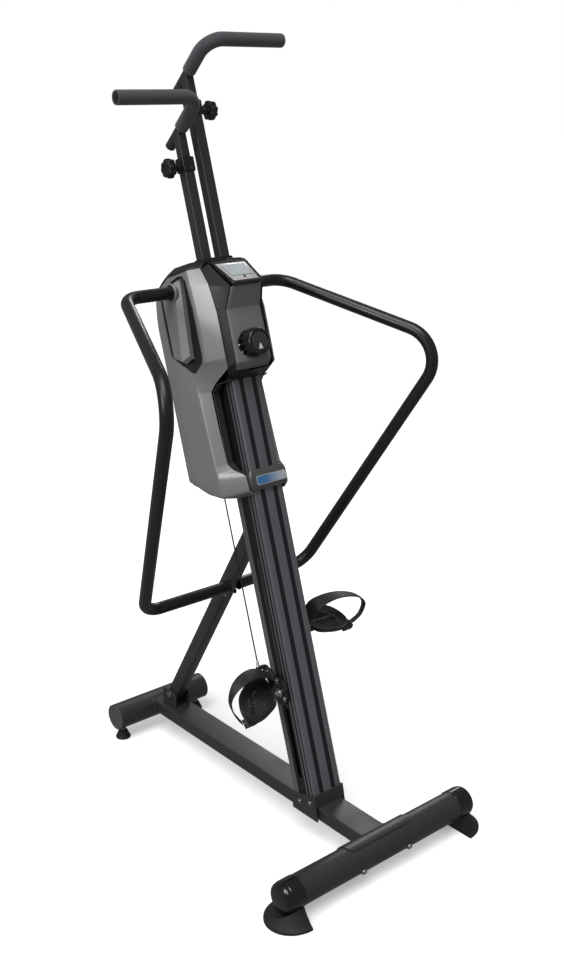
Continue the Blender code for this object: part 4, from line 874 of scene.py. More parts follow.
def brace_foot():
    outer, low = BRACE_HALF + 0.0097, BEAM_TOP + 0.0003
    front, back = BRACE_PIVOT.y - 0.046, BRACE_PIVOT.y + 0.020
    ear = [p[:2] for p in rounded([(front, low, 0), (back, low, 0), (back, low + 0.052, 0),
                                   (front, low + 0.052, 0)], [0, 0, 0.016, 0.020], 8)]
    for side, sign in SIDES.items():
        low_x, high_x = sorted((sign * (outer - 0.0035), sign * outer))
        show(f"bracket_ear_{side}", side_prism(ear, low_x, high_x), FRAME, WORLD, "frame",
             "brace_foot_bracket", bevel=0.0007)
    floor_plate = box((-outer, front, low), (outer, back, low + 0.004))
    show("bracket_floor", floor_plate, FRAME, WORLD, "frame", "brace_foot_bracket",
         bevel=0.001)
    for side, sign in SIDES.items():
        turn = Matrix.Rotation(sign * math.pi / 2, 4, "Y")
        spot = BRACE @ Matrix.Translation((sign * (outer + 0.0002), 0, 0.026)) @ turn
        show(f"brace_bolt_{side}", hex_bolt(0.0075, 0.0050, 0.0105), STEEL, spot, "frame",
             "brace_pivot_bolt")
    pin = lathe([(0, -outer), (0.004, -outer), (0.004, outer), (0, outer)], 24)
    show("brace_pin", pin, STEEL, BRACE @ Matrix.Translation((0, 0, 0.026)) @ ALONG_X,
         "frame", "brace_pivot_bolt")
    run = [(-outer, front, low), (-outer, back, low), (outer, back, low), (outer, front, low),
           (-outer, front, low)]
    show("bracket_weld", weld(run, 0.0017), FRAME, WORLD, "frame")


def side_bars():
    half = BRACE_HALF + 0.0001
    brace_side = (-half, -0.1, 0.4), (half, 0.3, 0.8)
    for side, sign in SIDES.items():
        flip = Matrix.Diagonal((sign, 1, 1))
        inner = Vector((0.003, BAR_P1.y, BAR_P1.z))
        seam = BAR_P2.lerp(BAR_P3, BAR_SEAM)
        along = (BAR_P3 - BAR_P2).normalized()
        upper = rounded([inner, BAR_P1, BAR_P2, seam - along * 0.0004],
                        [0, *BAR_UPPER_BENDS, 0], 16, False)
        lower = rounded([seam + along * 0.0004, BAR_P3, BAR_P4 - Vector((0.006, 0, 0))],
                        [0, *BAR_LOWER_BENDS, 0], 16, False)
        tube = sweep([flip @ Vector(p) for p in upper], BAR_R, 40, BAR_R - 0.002)
        show(f"bar_upper_{side}", tube, BAR, WORLD, "frame", f"side_bar_upper_{side}")
        tube = combined(sweep([flip @ Vector(p) for p in lower], BAR_R, 40, BAR_R - 0.002),
                        box(*brace_side))
        show(f"bar_lower_{side}", tube, BAR, WORLD, "frame", f"side_bar_lower_{side}")
        sleeve = sweep([flip @ (seam - along * 0.030), flip @ (seam + along * 0.030)],
                       BAR_R - 0.0022, 32)
        show(f"bar_joint_{side}", sleeve, BAR, WORLD, "frame")
        bar_end(side, sign)


def bar_end(side, sign):
    """The bar's lower end on the brace: a welded rim and the bolt beside it."""
    spot = Vector((sign * (BRACE_HALF + 0.0004), BAR_P4.y, BAR_P4.z))
    ring = [spot + Vector((0, BAR_R * math.cos(math.pi * i / 18),
                           BAR_R * math.sin(math.pi * i / 18))) for i in range(37)]
    show(f"bar_weld_{side}", weld(ring, 0.0016), BAR, WORLD, "frame")
    turn = Matrix.Rotation(sign * math.pi / 2, 4, "Y")
    up = BRACE.to_3x3() @ Vector((0, 0, 1))
    place = Matrix.Translation(spot - up * 0.031 - Vector((sign * 0.0002, 0, 0))) @ turn
    show(f"bar_end_bolt_{side}", bolt_head(0.0062, 0.0040, 0.0088), STEEL, place, "frame")


# ---- Drive housing --------------------------------------------------------------------------
def soften(mesh, width, angle=9, segments=4):
    """Rounds every edge of an open sheet that bends by more than angle."""
    shape = bmesh.new()
    shape.from_mesh(mesh)
    edges = [e for e in shape.edges if len(e.link_faces) == 2
             and e.calc_face_angle(0) > math.radians(angle)]
    bmesh.ops.bevel(shape, geom=edges, offset=width, segments=segments, profile=0.5,
                    affect="EDGES", clamp_overlap=True)
    bmesh.ops.remove_doubles(shape, verts=shape.verts, dist=0.00005)
    shape.to_mesh(mesh)
    shape.free()
    return mesh


def cover_rows():
    def row(front, crease, side, corner, shoulder, back, seam):
        return [front, crease, side, corner, shoulder, back, seam]

    def level(s, front_x, front_y, crease_y):
        return row((front_x, front_y, s), (COVER_SIDE, crease_y, s), (COVER_SIDE, 0.120, s),
                   (COVER_SIDE, 0.165, s), (0.092, 0.205, s), (0.060, 0.228, s),
                   (0.0003, 0.233, s))

    inner = row((0.0485, -0.002, 0.824), (0.0485, 0.060, 0.816), (0.0485, 0.084, 0.822),
                (0.032, 0.0865, 0.826), (0.022, 0.0865, 0.828), (0.012, 0.0865, 0.829),
                (0.0003, 0.0865, 0.829))
    bottom = row((0.060, -0.002, 0.834), (0.099, 0.066, 0.826), (0.099, 0.120, 0.838),
                 (0.097, 0.155, 0.853), (0.087, 0.190, 0.866), (0.058, 0.212, 0.873),
                 (0.0003, 0.217, 0.875))
    upper = row((0.072, -0.016, 1.346), (0.100, 0.022, 1.346), (0.100, 0.120, 1.346),
                (0.100, 0.165, 1.330), (0.092, 0.202, 1.300), (0.060, 0.224, 1.285),
                (0.0003, 0.229, 1.282))
    top = row((0.072, 0.006, 1.390), (0.098, 0.028, 1.390), (0.098, 0.110, 1.388),
              (0.097, 0.163, 1.366), (0.089, 0.198, 1.336), (0.058, 0.219, 1.316),
              (0.0003, 0.224, 1.312))
    return [inner, bottom, level(0.872, 0.061, 0.000, 0.065),
            level(0.888, 0.068, 0.038, 0.065), level(0.905, 0.074, 0.051, 0.066),
            level(1.000, 0.076, 0.054, 0.072), level(1.090, 0.077, 0.054, 0.077),
            level(1.110, 0.075, 0.030, 0.079), level(1.140, 0.072, -0.028, 0.079),
            level(1.164, 0.072, -0.028, 0.024), level(1.218, 0.072, -0.028, 0.015),
            level(1.275, 0.072, -0.028, 0.017), upper, top]


# The opening in each cover, as (depth, height along the column), and the recess floor.
WINDOW = [(0.036, 1.368), (0.0265, 1.300), (0.0255, 1.180), (0.030, 1.164),
          (0.070, 1.142), (0.086, 1.146), (0.160, 1.196), (0.160, 1.360),
          (0.100, 1.3765), (0.066, 1.384), (0.048, 1.382)]
RECESS = [(0.046, 1.360), (0.0375, 1.298), (0.0365, 1.196), (0.040, 1.184),
          (0.078, 1.172), (0.090, 1.172), (0.158, 1.208), (0.158, 1.356),
          (0.100, 1.3715), (0.066, 1.3775), (0.052, 1.3740)]


def side_covers():
    for side, sign in SIDES.items():
        sheet = soften(loft(cover_rows()), 0.0042)
        shell = thicken(sheet, 0.003, (0.4, 0.12, 1.1))
        shell = combined(shell, side_prism(WINDOW, 0.090, 0.120))
        hole = prism([(CABLE_X + 0.004 * math.cos(math.pi * i / 12),
                       CABLE_DEPTH + 0.004 * math.sin(math.pi * i / 12))
                      for i in range(24)], 0.78, 0.86)
        shell = combined(shell, hole)
        show(f"cover_{side}", mirrored(shell, sign), SILVER, COLUMN, "frame",
             f"{side}_cover", sharp=30)
        window_recess(side, sign)
        column_recess(side, sign)
        bar_pod(side, sign)
        for i, (depth, s) in enumerate(((0.198, 1.250), (0.198, 1.060), (0.184, 0.900))):
            turn = Matrix.Rotation(math.pi / 2 - math.radians(20), 4, "Y")
            spot = Matrix.Translation((0.0934 if i < 2 else 0.0955, depth, s))
            head = bolt_head(0.0036, 0.0018, 0.0048)
            flip = Matrix.Diagonal((sign, 1, 1, 1))
            lean = Matrix.Rotation(math.radians(12), 4, "Z")
            show(f"cover_screw_{side}_{i}", moved(head, flip @ spot @ lean @ turn), DARK_STEEL,
                 COLUMN, "frame")


def window_recess(side, sign):
    """The black dished surround in the cover's window."""
    outer = [(0.0994, y, s) for y, s in WINDOW]
    lip = [(0.1003, *point_in(WINDOW, i, 0.0011)) for i in range(len(WINDOW))]
    floor = [(0.0868, y, s) for y, s in RECESS]
    rows = [outer, lip, floor]
    mesh = loft(rows, True)
    shape = bmesh.new()
    shape.from_mesh(mesh)
    shape.verts.ensure_lookup_table()
    count = len(WINDOW)
    shape.faces.new([shape.verts[2 * count + i] for i in range(count)])
    bmesh.ops.recalc_face_normals(shape, faces=shape.faces)
    shape.to_mesh(mesh)
    shape.free()
    mesh = thicken(soften(mesh, 0.0012, 9, 3), 0.0015, (0.4, 0.09, 1.27))
    bore = sweep([(0, BAR_DEPTH, BAR_S), (0.3, BAR_DEPTH, BAR_S)], BAR_R + 0.0003, 48)
    show(f"recess_{side}", mirrored(combined(mesh, bore), sign), BLACK, COLUMN, "frame",
         f"inner_frame_{side}", sharp=24)


def point_in(outline, i, inset):
    """A corner of an outline, moved towards the outline's middle."""
    middle = Vector((sum(p[0] for p in outline), sum(p[1] for p in outline))) / len(outline)
    corner = Vector(outline[i])
    return tuple(corner + (middle - corner).normalized() * inset)


def column_recess(side, sign):
    """The grey wall in the silver cover's cut-back, with a black sheet sunk behind it as painted
    shade in the gap beside the column.
    """
    spine = [(0.0560, -0.008, 1.1100), (0.0690, 0.031, 1.1050), (0.0715, 0.050, 1.086),
             (0.0700, 0.050, 0.906), (0.0590, 0.032, 0.884), (0.0560, 0.006, 0.877)]
    smooth = rounded(spine, [0, 0.010, 0.014, 0.014, 0.010, 0], 8, False)
    # The second, deeper sheet is black to paint the shadow that fills the gap by the column.
    for name, look, share, sink, start in (("column_recess", PANEL, 0.42, 0.0006, 0.0035),
                                           ("recess_gap_painted_shade", BLACK, 0.0, 0.0075, None)):
        rows = []
        for x, y, s in smooth:
            reach = x - 0.0466
            near = 0.0466 + reach * share
            if start is None:
                rows.append([(near, y + sink, s), (0.0466 + reach * 0.45, y + sink, s)])
            else:
                rows.append([(near, y + 0.0070, s), (near, y + sink, s), (x, y, s),
                             (x + start, y - 0.0020, s)])
        mesh = thicken(loft(rows), 0.0018, (0.06, -1, 1.0))
        show(f"{name}_{side}", mirrored(mesh, sign), look, COLUMN, "frame",
             f"inner_frame_{side}")


def bar_pod(side, sign):
    """The raised silver block a side bar passes through, chamfered at its foot."""
    low = [(0.0860, 0.0835, 1.1885), (0.0985, 0.0835, 1.1885), (0.1086, 0.1080, 1.1785),
           (0.1038, 0.1475, 1.1920), (0.0860, 0.1475, 1.1920)]
    high = [(0.0860, 0.0640, 1.3720), (0.0985, 0.0640, 1.3720), (0.1086, 0.0770, 1.3700),
            (0.1038, 0.1475, 1.3540), (0.0860, 0.1475, 1.3540)]

    def shallow(ring, lift):
        return [(0.0860 + (x - 0.0860) * 0.45, y, s + lift) for x, y, s in ring]

    block = loft([shallow(low, -0.0085), low, high, shallow(high, 0.0075)], True, True)
    bore = sweep([(0, BAR_DEPTH, BAR_S), (0.3, BAR_DEPTH, BAR_S)], BAR_R + 0.0003, 48)
    block = combined(block, bore)
    show(f"pod_{side}", mirrored(block, sign), SILVER, COLUMN, "frame",
         f"{side}_bar_cover", bevel=0.0011, angle=12)
    turn = ALONG_X if sign > 0 else Matrix.Rotation(-math.pi / 2, 4, "Y")
    ring = lathe([(BAR_R + 0.0003, 0), (0.0225, 0), (0.0235, 0.0010), (0.0235, 0.0032),
                  (0.0224, 0.0048), (0.0200, 0.0052), (0.0190, 0.0036), (0.0178, 0.0040),
                  (BAR_R + 0.0003, 0.0034)], 64, True)
    place = Matrix.Translation((sign * 0.1083, BAR_P1.y, BAR_P1.z)) @ turn
    show(f"bar_ring_{side}", ring, SILVER, place, "frame", f"bar_collar_{side}")
    grommet = lathe([(BAR_R + 0.0002, 0.0020), (0.0190, 0.0020), (0.0188, 0.0058),
                     (0.0178, 0.0070), (BAR_R + 0.0002, 0.0070)], 64, True)
    show(f"bar_grommet_{side}", grommet, RUBBER, place, "frame")


def top_cover():
    sheet = []
    for depth, edge_x, edge_s, crown_x, crown_s in (
            (-0.002, 0.0720, 1.3946, 0.058, 1.4030), (0.014, 0.0820, 1.3946, 0.066, 1.4065),
            (0.032, 0.0988, 1.3946, 0.081, 1.4100),
            (0.100, 0.0990, 1.3940, 0.082, 1.410), (0.135, 0.0985, 1.3865, 0.080, 1.401),
            (0.166, 0.0975, 1.3715, 0.078, 1.386), (0.200, 0.0900, 1.3420, 0.070, 1.354),
            (0.222, 0.0590, 1.3220, 0.045, 1.330)):
        half = [(edge_x, depth, edge_s - 0.004), (edge_x, depth, edge_s),
                (crown_x, depth, crown_s), (crown_x / 2, depth, crown_s + 0.002)]
        sheet.append([(-x, y, z) for x, y, z in half]
                     + [(x, y, z) for x, y, z in reversed(half)])
    crown = thicken(soften(loft(sheet), 0.003, 9, 3), 0.003, (0, 0.1, 1.8))
    half = ARM_HALF + 0.0015
    crown = combined(crown, box((-ARM_X - half, ARM_DEPTH - half, 1.3),
                                (ARM_X + half, ARM_DEPTH + half, 1.5)))
    show("crown", crown, BLACK, COLUMN, "frame", "top_cover", sharp=28)
    rim_low, rim_high = 1.4100, 1.4160
    rim = []
    for grow, z in ((0.0016, rim_low), (0.0052, rim_low), (0.0052, rim_high - 0.0012),
                    (0.0040, rim_high), (0.0016, rim_high)):
        rim.append([(x, y, z) for x, y in rounded_flat(ARM_X + ARM_HALF + grow,
                                                       ARM_HALF + grow, 0.004,
                                                       (0, ARM_DEPTH))])
    show("arm_gaiter", ring_loft(rim), RUBBER, COLUMN, "frame")


def console():
    """The instrument face: a panel falling to a waist, and a belly with a rolled lip."""
    fall = rounded([(-0.0735, 0.0465, 1.3300), (-0.042, 0.0540, 1.2800),
                    (-0.0465, 0.0550, 1.1480), (-0.030, 0.0540, 1.1300)],
                   [0, 0.010, 0.009, 0], 8, False)
    across = [(-1, 0.0125), (-0.995, 0.0060), (-0.975, 0.0024), (-0.94, 0.0006), (-0.86, 0),
              (-0.45, -0.0006), (0, -0.0008)]
    across += [(-t, d) for t, d in reversed(across[:-1])]
    rows = [[(half * t, depth + back, s) for t, back in across] for depth, half, s in fall]
    mesh = thicken(loft(rows), 0.0024, (0, -0.4, 1.2))
    post = prism([(0.0045 * math.cos(a * 0.3927), 0.0045 * math.sin(a * 0.3927))
                  for a in range(16)], -0.02, 0.02)
    post = moved(post, Matrix.Translation((0, -0.045, 1.190)) @ ALONG_Y)
    show("console_face", combined(mesh, post), CONSOLE, COLUMN, "frame", "console_front",
         sharp=50)
    surround()
    display()


def surround():
    """The black frame round the console, from the crown down past the cheeks to the chin."""
    inner = [(0.0, -0.0100, 1.4030), (0.0440, -0.0100, 1.4030), (0.0570, -0.0120, 1.3955),
             (0.0494, -0.0700, 1.3318), (0.0564, -0.0410, 1.2800), (0.0584, -0.0435, 1.1500),
             (0.0570, -0.0320, 1.1290), (0.0, -0.0320, 1.1265)]
    outer = [(0.0, 0.0080, 1.3990), (0.0500, 0.0080, 1.3975), (0.0690, 0.0050, 1.3900),
             (0.0690, -0.0155, 1.344), (0.0690, -0.0262, 1.290), (0.0690, -0.0262, 1.142),
             (0.0500, -0.0040, 1.1125), (0.0, -0.0040, 1.1125)]
    fringe = [(0.0, 0.0140, 1.3960), (0.0520, 0.0140, 1.3945), (0.0715, 0.0110, 1.3880),
              (0.0720, -0.0125, 1.346), (0.0720, -0.0236, 1.290), (0.0720, -0.0236, 1.142),
              (0.0500, 0.0045, 1.1085), (0.0, 0.0045, 1.1085)]
    soft = [rounded(side, [0] + [0.0035] * 6 + [0], 3, False)
            for side in (inner, outer, fringe)]
    sheet = []
    for sign in (-1, 1):
        order = range(len(soft[0]))
        half = [[(sign * row[i][0], row[i][1], row[i][2]) for row in soft] for i in order]
        sheet += half[::-1] if sign < 0 else half[1:]
    mesh = thicken(loft(sheet), 0.0015, (0, -0.4, 0.9))
    show("surround", mesh, BLACK, COLUMN, "frame", "console_surround", sharp=28)


DISPLAY_REAR = (-0.012, 1.4026, 0.0548)
DISPLAY_FRONT = (-0.083, 1.3370, 0.0470)


def display():
    rise, run = DISPLAY_REAR[1] - DISPLAY_FRONT[1], DISPLAY_REAR[0] - DISPLAY_FRONT[0]
    place = (COLUMN @ Matrix.Translation((0, DISPLAY_FRONT[0], DISPLAY_FRONT[1]))
             @ Matrix.Rotation(math.atan2(rise, run), 4, "X"))
    length = 0.0960

    def trapezoid(inset, radius, z, lift=(0, 0)):
        near, far = DISPLAY_FRONT[2], DISPLAY_REAR[2]
        return [(x, y, z) for x, y, _ in rounded(
            [(-near + inset, inset + lift[0], 0), (near - inset, inset + lift[0], 0),
             (far - inset, length - inset - lift[1], 0),
             (-far + inset, length - inset - lift[1], 0)], radius, 5)]

    bezel = ring_loft([trapezoid(0.0006, 0.004, -0.0090), trapezoid(0, 0.004, -0.0080),
                       trapezoid(0, 0.004, -0.0012), trapezoid(0.0012, 0.004, 0),
                       trapezoid(0.0078, 0.002, 0, (0, 0.004)),
                       trapezoid(0.0084, 0.002, -0.0014, (0, 0.004)),
                       trapezoid(0.0084, 0.002, -0.0090, (0, 0.004))])
    show("bezel", bezel, GLOSS, place, "frame", "display_unit", sharp=30)
    plate = loft([trapezoid(0.0085, 0.002, -0.0085, (0, 0.004)),
                  trapezoid(0.0085, 0.002, -0.0011, (0, 0.004)),
                  trapezoid(0.0089, 0.002, -0.0007, (0, 0.004))], True, True)
    hole = prism([(0.003 + 0.0036 * math.cos(a * 0.2618), 0.0200 + 0.0036 * math.sin(a * 0.2618))
                  for a in range(24)], -0.02, 0.02)
    show("display_plate", combined(plate, hole), PLATE, place, "frame", "display_unit")
    for name, grow, low, high, look in (("display_border", 0.0009, -0.0030, -0.0004, GLOSS),
                                        ("display_glass", 0, -0.0030, -0.0001, LCD)):
        glass = rounded([(-0.0315 - grow, 0.0290 - grow, 0), (0.0315 + grow, 0.0290 - grow, 0),
                         (0.0345 + grow, 0.0735 + grow, 0),
                         (-0.0345 - grow, 0.0735 + grow, 0)], 0.0012, 3)
        show(name, prism([p[:2] for p in glass], low, high), look, place, "frame",
             "display_unit")
    latch = prism(rounded_flat(0.0060, 0.0016, 0.0010, (0, 0.0905)), -0.001, 0.0010)
    show("display_latch", latch, PLUG, place, "frame", bevel=0.0004)
    key = lathe([(0, -0.0030), (0.0032, -0.0030), (0.0032, 0.0000), (0.0027, 0.0008),
                 (0.0010, 0.0010), (0, 0.0010)], 32)
    show("reset_key", key, BLACK, place @ Matrix.Translation((0.003, 0.0238, 0)), "button",
         "display_button")


def resistance_knob():
    """A lobed skirt and a plain grip ring round a sunk disc with a white pointer."""
    place = COLUMN @ Matrix.Translation((0, -0.0830, 1.190)) @ ALONG_Y
    rings = []
    for z, scale, depth in ((0.0333, 0.97, 0.0022), (0.0322, 1.0, 0.0024),
                            (0.0210, 1.0, 0.0024), (0.0180, 0.985, 0.0016),
                            (0.0162, 0.962, 0.0)):
        rings.append([(x * scale, y * scale, z) for x, y in lobed(DIAL_R, depth, 16, 12)])
    for z, radius in ((0.0130, 0.0340), (0.0055, 0.0334), (0.0030, 0.0326), (0.0015, 0.0308),
                      (0.0010, 0.0288), (0.0016, 0.0266), (0.0036, 0.0256),
                      (0.0040, 0.0240)):
        rings.append([(x, y, z) for x, y in lobed(radius, 0, 16, 12)])
    show("dial", loft(rings, True, True), GLOSS, place, "resistance_dial",
         "resistance_knob")
    disc = lathe([(0, 0.0074), (0.0236, 0.0074), (0.0236, 0.0038), (0.0231, 0.0032),
                  (0.0080, 0.0029), (0, 0.0029)], 64)
    show("dial_disc", disc, PANEL, place, "resistance_dial")
    pointer = prism([(-0.0062, 0.0186), (0.0062, 0.0186), (0.0012, 0.0050),
                     (-0.0012, 0.0050)], 0.0023, 0.0036)
    show("dial_pointer", pointer, WHITE, place, "resistance_dial", bevel=0.0004)
    dots = []
    for i in range(9):
        angle = math.radians(-210 + 30 * i)
        dots.append(prism([(0.0208 * math.cos(angle) + 0.0004 * math.cos(a * 0.7854),
                            0.0208 * math.sin(angle) + 0.0004 * math.sin(a * 0.7854))
                           for a in range(8)], 0.0026, 0.0034))
    show("dial_dots", joined(*dots), WHITE, place, "resistance_dial")
    shaft = lathe([(0, 0.0320), (0.0040, 0.0320), (0.0040, 0.0690), (0, 0.0690)], 20)
    show("dial_shaft", shaft, STEEL, place, "resistance_dial")
    escutcheon()


def escutcheon():
    """The oval plate behind the knob, with two white spots on its left rim that are painted
    highlights.
    """
    place = COLUMN @ Matrix.Translation((0, -0.0448, 1.190)) @ ALONG_Y
    outline = rounded_flat(0.0385, 0.0330, 0.0325, (-0.0035, 0), 14)
    rows = [[(x * k - 0.0035 * (1 - k), y * k, z) for x, y in outline]
            for z, k in ((0.0015, 1.0), (-0.0012, 1.0), (-0.0022, 0.965), (-0.0024, 0.90))]
    plate = loft(rows, True, True)
    hole = prism([(0.0045 * math.cos(a * 0.3927), 0.0045 * math.sin(a * 0.3927))
                  for a in range(16)], -0.02, 0.02)
    show("dial_plate", combined(plate, hole), GLOSS, place, "frame")
    # Two small white discs on the plate's left rim are painted highlights.
    highlight_spots = []
    for angle, half in ((math.radians(180), 0.0022), (math.radians(148), 0.0018)):
        centre = (-0.0035 + 0.0362 * math.cos(angle), 0.0340 * math.sin(angle))
        highlight_spots.append(prism([(centre[0] + half * math.cos(a * 0.5236),
                             centre[1] + half * math.sin(a * 0.5236)) for a in range(12)],
                           -0.0026, -0.0018))
    show("dial_painted_highlights", joined(*highlight_spots), WHITE, place, "frame")


def lower_collar():
    """The band that ties both covers together round the column's front."""
    front = [(-0.0585, 0.030), (-0.0585, -0.0122), (0.0585, -0.0122), (0.0585, 0.030)]
    path = rounded([(x, y, 0) for x, y in front], [0, 0.0065, 0.0065, 0], 8, False)
    inner_path = rounded([(x, y, 0) for x, y in ((-0.0466, 0.030), (-0.0466, -0.0006),
                                                 (0.0466, -0.0006), (0.0466, 0.030))],
                         [0, 0.0030, 0.0030, 0], 8, False)
    rows = []
    for (x, y, _), (u, v, _) in zip(path, inner_path):
        back = Vector((u, v, 0))
        out = Vector((x, y, 0)) - back
        ahead = min(1, max(0, (0.006 - y) / 0.016))
        section = [(0, 0.8365 - 0.0065 * ahead), (0.60, 0.8365 - 0.0065 * ahead),
                   (0.93, 0.8395), (1, 0.8415), (1, 0.8655), (0.94, 0.8685),
                   (0.50, 0.8715 + 0.0095 * ahead), (0, 0.8715 + 0.0105 * ahead)]
        rows.append([tuple(back + out * k + Vector((0, 0, s))) for k, s in section])
    show("collar", loft(rows, True, True), GUNMETAL, COLUMN, "frame", "lower_collar",
         sharp=40)
    place = COLUMN @ Matrix.Translation((0.0065, -0.0122, 0.8535)) @ ALONG_Y
    for name, half, look, lift in (("badge_rim", (0.0470, 0.0116), PLATE, 0.0005),
                                   ("badge_enamel", (0.0455, 0.0101), BADGE, 0.0009)):
        rows = [[(x, y, z) for x, y in rounded_flat(*half, 0.0040, (0, 0), 6)]
                for z in (0.0010, -lift)]
        show(name, loft(rows, True, True), look, place, "frame", bevel=0.0002)


def hidden_drive():
    """Solids wholly inside the housing keep their shape and take a worked finish."""
    for name, look in (("bar_mount", FRAME), ("drive_axle", STEEL), ("drive_pulley", TREAD),
                       ("flywheel", IRON), ("magnet_carrier", DARK_STEEL)):
        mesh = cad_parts[name].data
        for i in range(len(mesh.materials)):
            mesh.materials[i] = look
        mesh.shade_smooth()
        mesh.set_sharp_from_angle(angle=math.radians(30))


# ---- Arms -------------------------------------------------------------------------------------
def arm(side, sign):
    place = arm_frame(sign)
    body = f"{side}_arm"
    centre = (sign * ARM_X, ARM_DEPTH)
    tube = square_tube(ARM_HALF, ARM_HALF, 0.0018, ARM_BOTTOM, ARM_TOP, centre, 0.0030)
    show(f"arm_{side}", tube, FRAME, place, body, f"{side}_arm_tube")
    clamp(side, sign, place, body)
    clamp_knob(side, sign, place)
    carriage(side, sign, place, body)
    handle(side, sign, place)
    pedal(side, sign, place)


def clamp(side, sign, place, body):
    centre = (sign * ARM_X, ARM_DEPTH)
    hole = ARM_HALF + 0.0003
    rows = []
    for half, s, radius in ((hole, CLAMP_LOW, 0.002), (CLAMP_HALF - 0.0008, CLAMP_LOW, 0.003),
                            (CLAMP_HALF, CLAMP_LOW + 0.0010, 0.004),
                            (CLAMP_HALF, CLAMP_HIGH - 0.0022, 0.004),
                            (CLAMP_HALF - 0.0020, CLAMP_HIGH, 0.003),
                            (POST_HALF + 0.0006, CLAMP_HIGH, 0.002),
                            (POST_HALF + 0.0006, CLAMP_HIGH - 0.0030, 0.002),
                            (hole, CLAMP_HIGH - 0.0036, 0.002)):
        rows.append([(x, y, s) for x, y in rounded_flat(half, half, radius, centre)])
    show(f"clamp_{side}", ring_loft(rows), BLACK, place, body, f"{side}_clamp", sharp=30)
    turn = Matrix.Rotation(sign * math.pi / 2, 4, "Y")
    spot = place @ Matrix.Translation((0, ARM_DEPTH, CLAMP_SCREW)) @ turn
    boss = lathe([(0.0044, 0.0440), (0.0098, 0.0440), (0.0090, 0.0480), (0.0090, 0.0550),
                  (0.0082, 0.0560), (0.0044, 0.0560)], 40, True)
    show(f"clamp_boss_{side}", boss, BLACK, spot, body)
    for i, drop in enumerate((0.0055, 0.0265)):
        head = place @ Matrix.Translation((centre[0] - sign * 0.004, ARM_DEPTH - CLAMP_HALF,
                                           CLAMP_LOW + drop)) @ Matrix.Rotation(
                                               math.pi / 2, 4, "X")
        if i == 0:
            show(f"clamp_rivet_{side}", bolt_head(0.0026, 0.0014, 0.0034), DARK_STEEL, head,
                 body)


def clamp_knob(side, sign, place):
    """A domed star knob of eight round lobes on its threaded shank."""
    turn = Matrix.Rotation(sign * math.pi / 2, 4, "Y")
    spot = place @ Matrix.Translation((0, ARM_DEPTH, CLAMP_SCREW)) @ turn
    rings = []
    for x, radius, depth in ((0.0690, 0.0125, 0.0), (0.0696, 0.0190, 0.0012),
                             (0.0706, 0.0228, 0.0030), (0.0722, 0.0241, 0.0040),
                             (0.0760, 0.0245, 0.0044), (0.0830, 0.0243, 0.0044),
                             (0.0862, 0.0236, 0.0038), (0.0884, 0.0220, 0.0028),
                             (0.0900, 0.0195, 0.0016), (0.0908, 0.0160, 0.0006),
                             (0.0910, 0.0120, 0.0), (0.0904, 0.0098, 0.0),
                             (0.0886, 0.0092, 0.0)):
        rings.append([(a, b, x) for a, b in lobed(radius, depth, 8, 12, 1.3)])
    show(f"knob_{side}", loft(rings, True, True), BLACK, spot, f"{side}_knob",
         f"{side}_clamp_knob", sharp=50)
    neck = lathe([(0, 0.0570), (0.0070, 0.0570), (0.0085, 0.0590), (0.0085, 0.0680),
                  (0.0105, 0.0694), (0, 0.0694)], 40)
    show(f"knob_neck_{side}", neck, BLACK, spot, f"{side}_knob")
    shank, z = [(0, 0.0412), (0.0036, 0.0412)], 0.0420
    while z < 0.0568:
        shank += [(0.0034, z), (0.0040, z + 0.0005)]
        z += 0.0010
    show(f"knob_shank_{side}", lathe(shank + [(0, 0.0574)], 20), STEEL, spot,
         f"{side}_knob")


def handle(side, sign, place):
    body = f"{side}_handle_post"
    corner = COLUMN.inverted() @ Vector((0, 0.6244 - DEPTH_CENTRE, 1.8323))
    corner = Vector((sign * ARM_X, corner.y, corner.z - LEFT_AXLE_S))
    forward = Vector((0, -math.cos(HANDLE_ANGLE), math.sin(HANDLE_ANGLE)))
    forward = COLUMN.to_3x3().inverted() @ forward
    rear = corner - forward * STEM_LENGTH
    end = Vector((sign * GRIP_END_X, corner.y, corner.z))
    across = Vector((sign, 0, 0))
    path = rounded([rear, corner, end - across * 0.0045], [0, 0.048, 0], 20, False)
    show(f"handle_{side}", sweep(path, HANDLE_R, 40, HANDLE_R - 0.002), FRAME, place, body,
         f"{side}_handle")
    post = square_tube(POST_HALF, POST_HALF, 0.0016, 1.080, 1.430,
                       (sign * ARM_X, ARM_DEPTH), 0.0025)
    slope = math.atan2(forward.z, -forward.y)
    trim = Matrix.Translation(rear) @ Matrix.Rotation(-slope, 4, "X")
    post = combined(post, moved(box((-0.03, -0.2, 0), (0.03, 0.05, 0.2)), trim))
    core = sweep([(0, -0.12, 0), (0, 0.02, 0)], HANDLE_R - 0.0004, 48)
    post = combined(post, moved(core, trim))
    show(f"post_{side}", post, FRAME, place, body, f"{side}_handle")
    bend = [Vector(p) for p in path[1:-1]]
    run = [rear + forward * GRIP_START] + bend + [end]
    grip = grip_mesh(run, across)
    show(f"grip_foam_{side}", grip, FOAM, place, body, f"{side}_grip", sharp=60)
    plug = [(0, -0.012), (0.0118, -0.012), (0.0118, 0.0002), (0.0150, 0.0004),
            (0.0156, 0.0012), (0.0152, 0.0026), (0.0125, 0.0042), (0.0070, 0.0052),
            (0, 0.0055)]
    turn = ALONG_X if sign > 0 else Matrix.Rotation(-math.pi / 2, 4, "Y")
    show(f"grip_plug_{side}", lathe(plug, 48), GLOSS,
         place @ Matrix.Translation(end - across * 0.0035) @ turn, body)


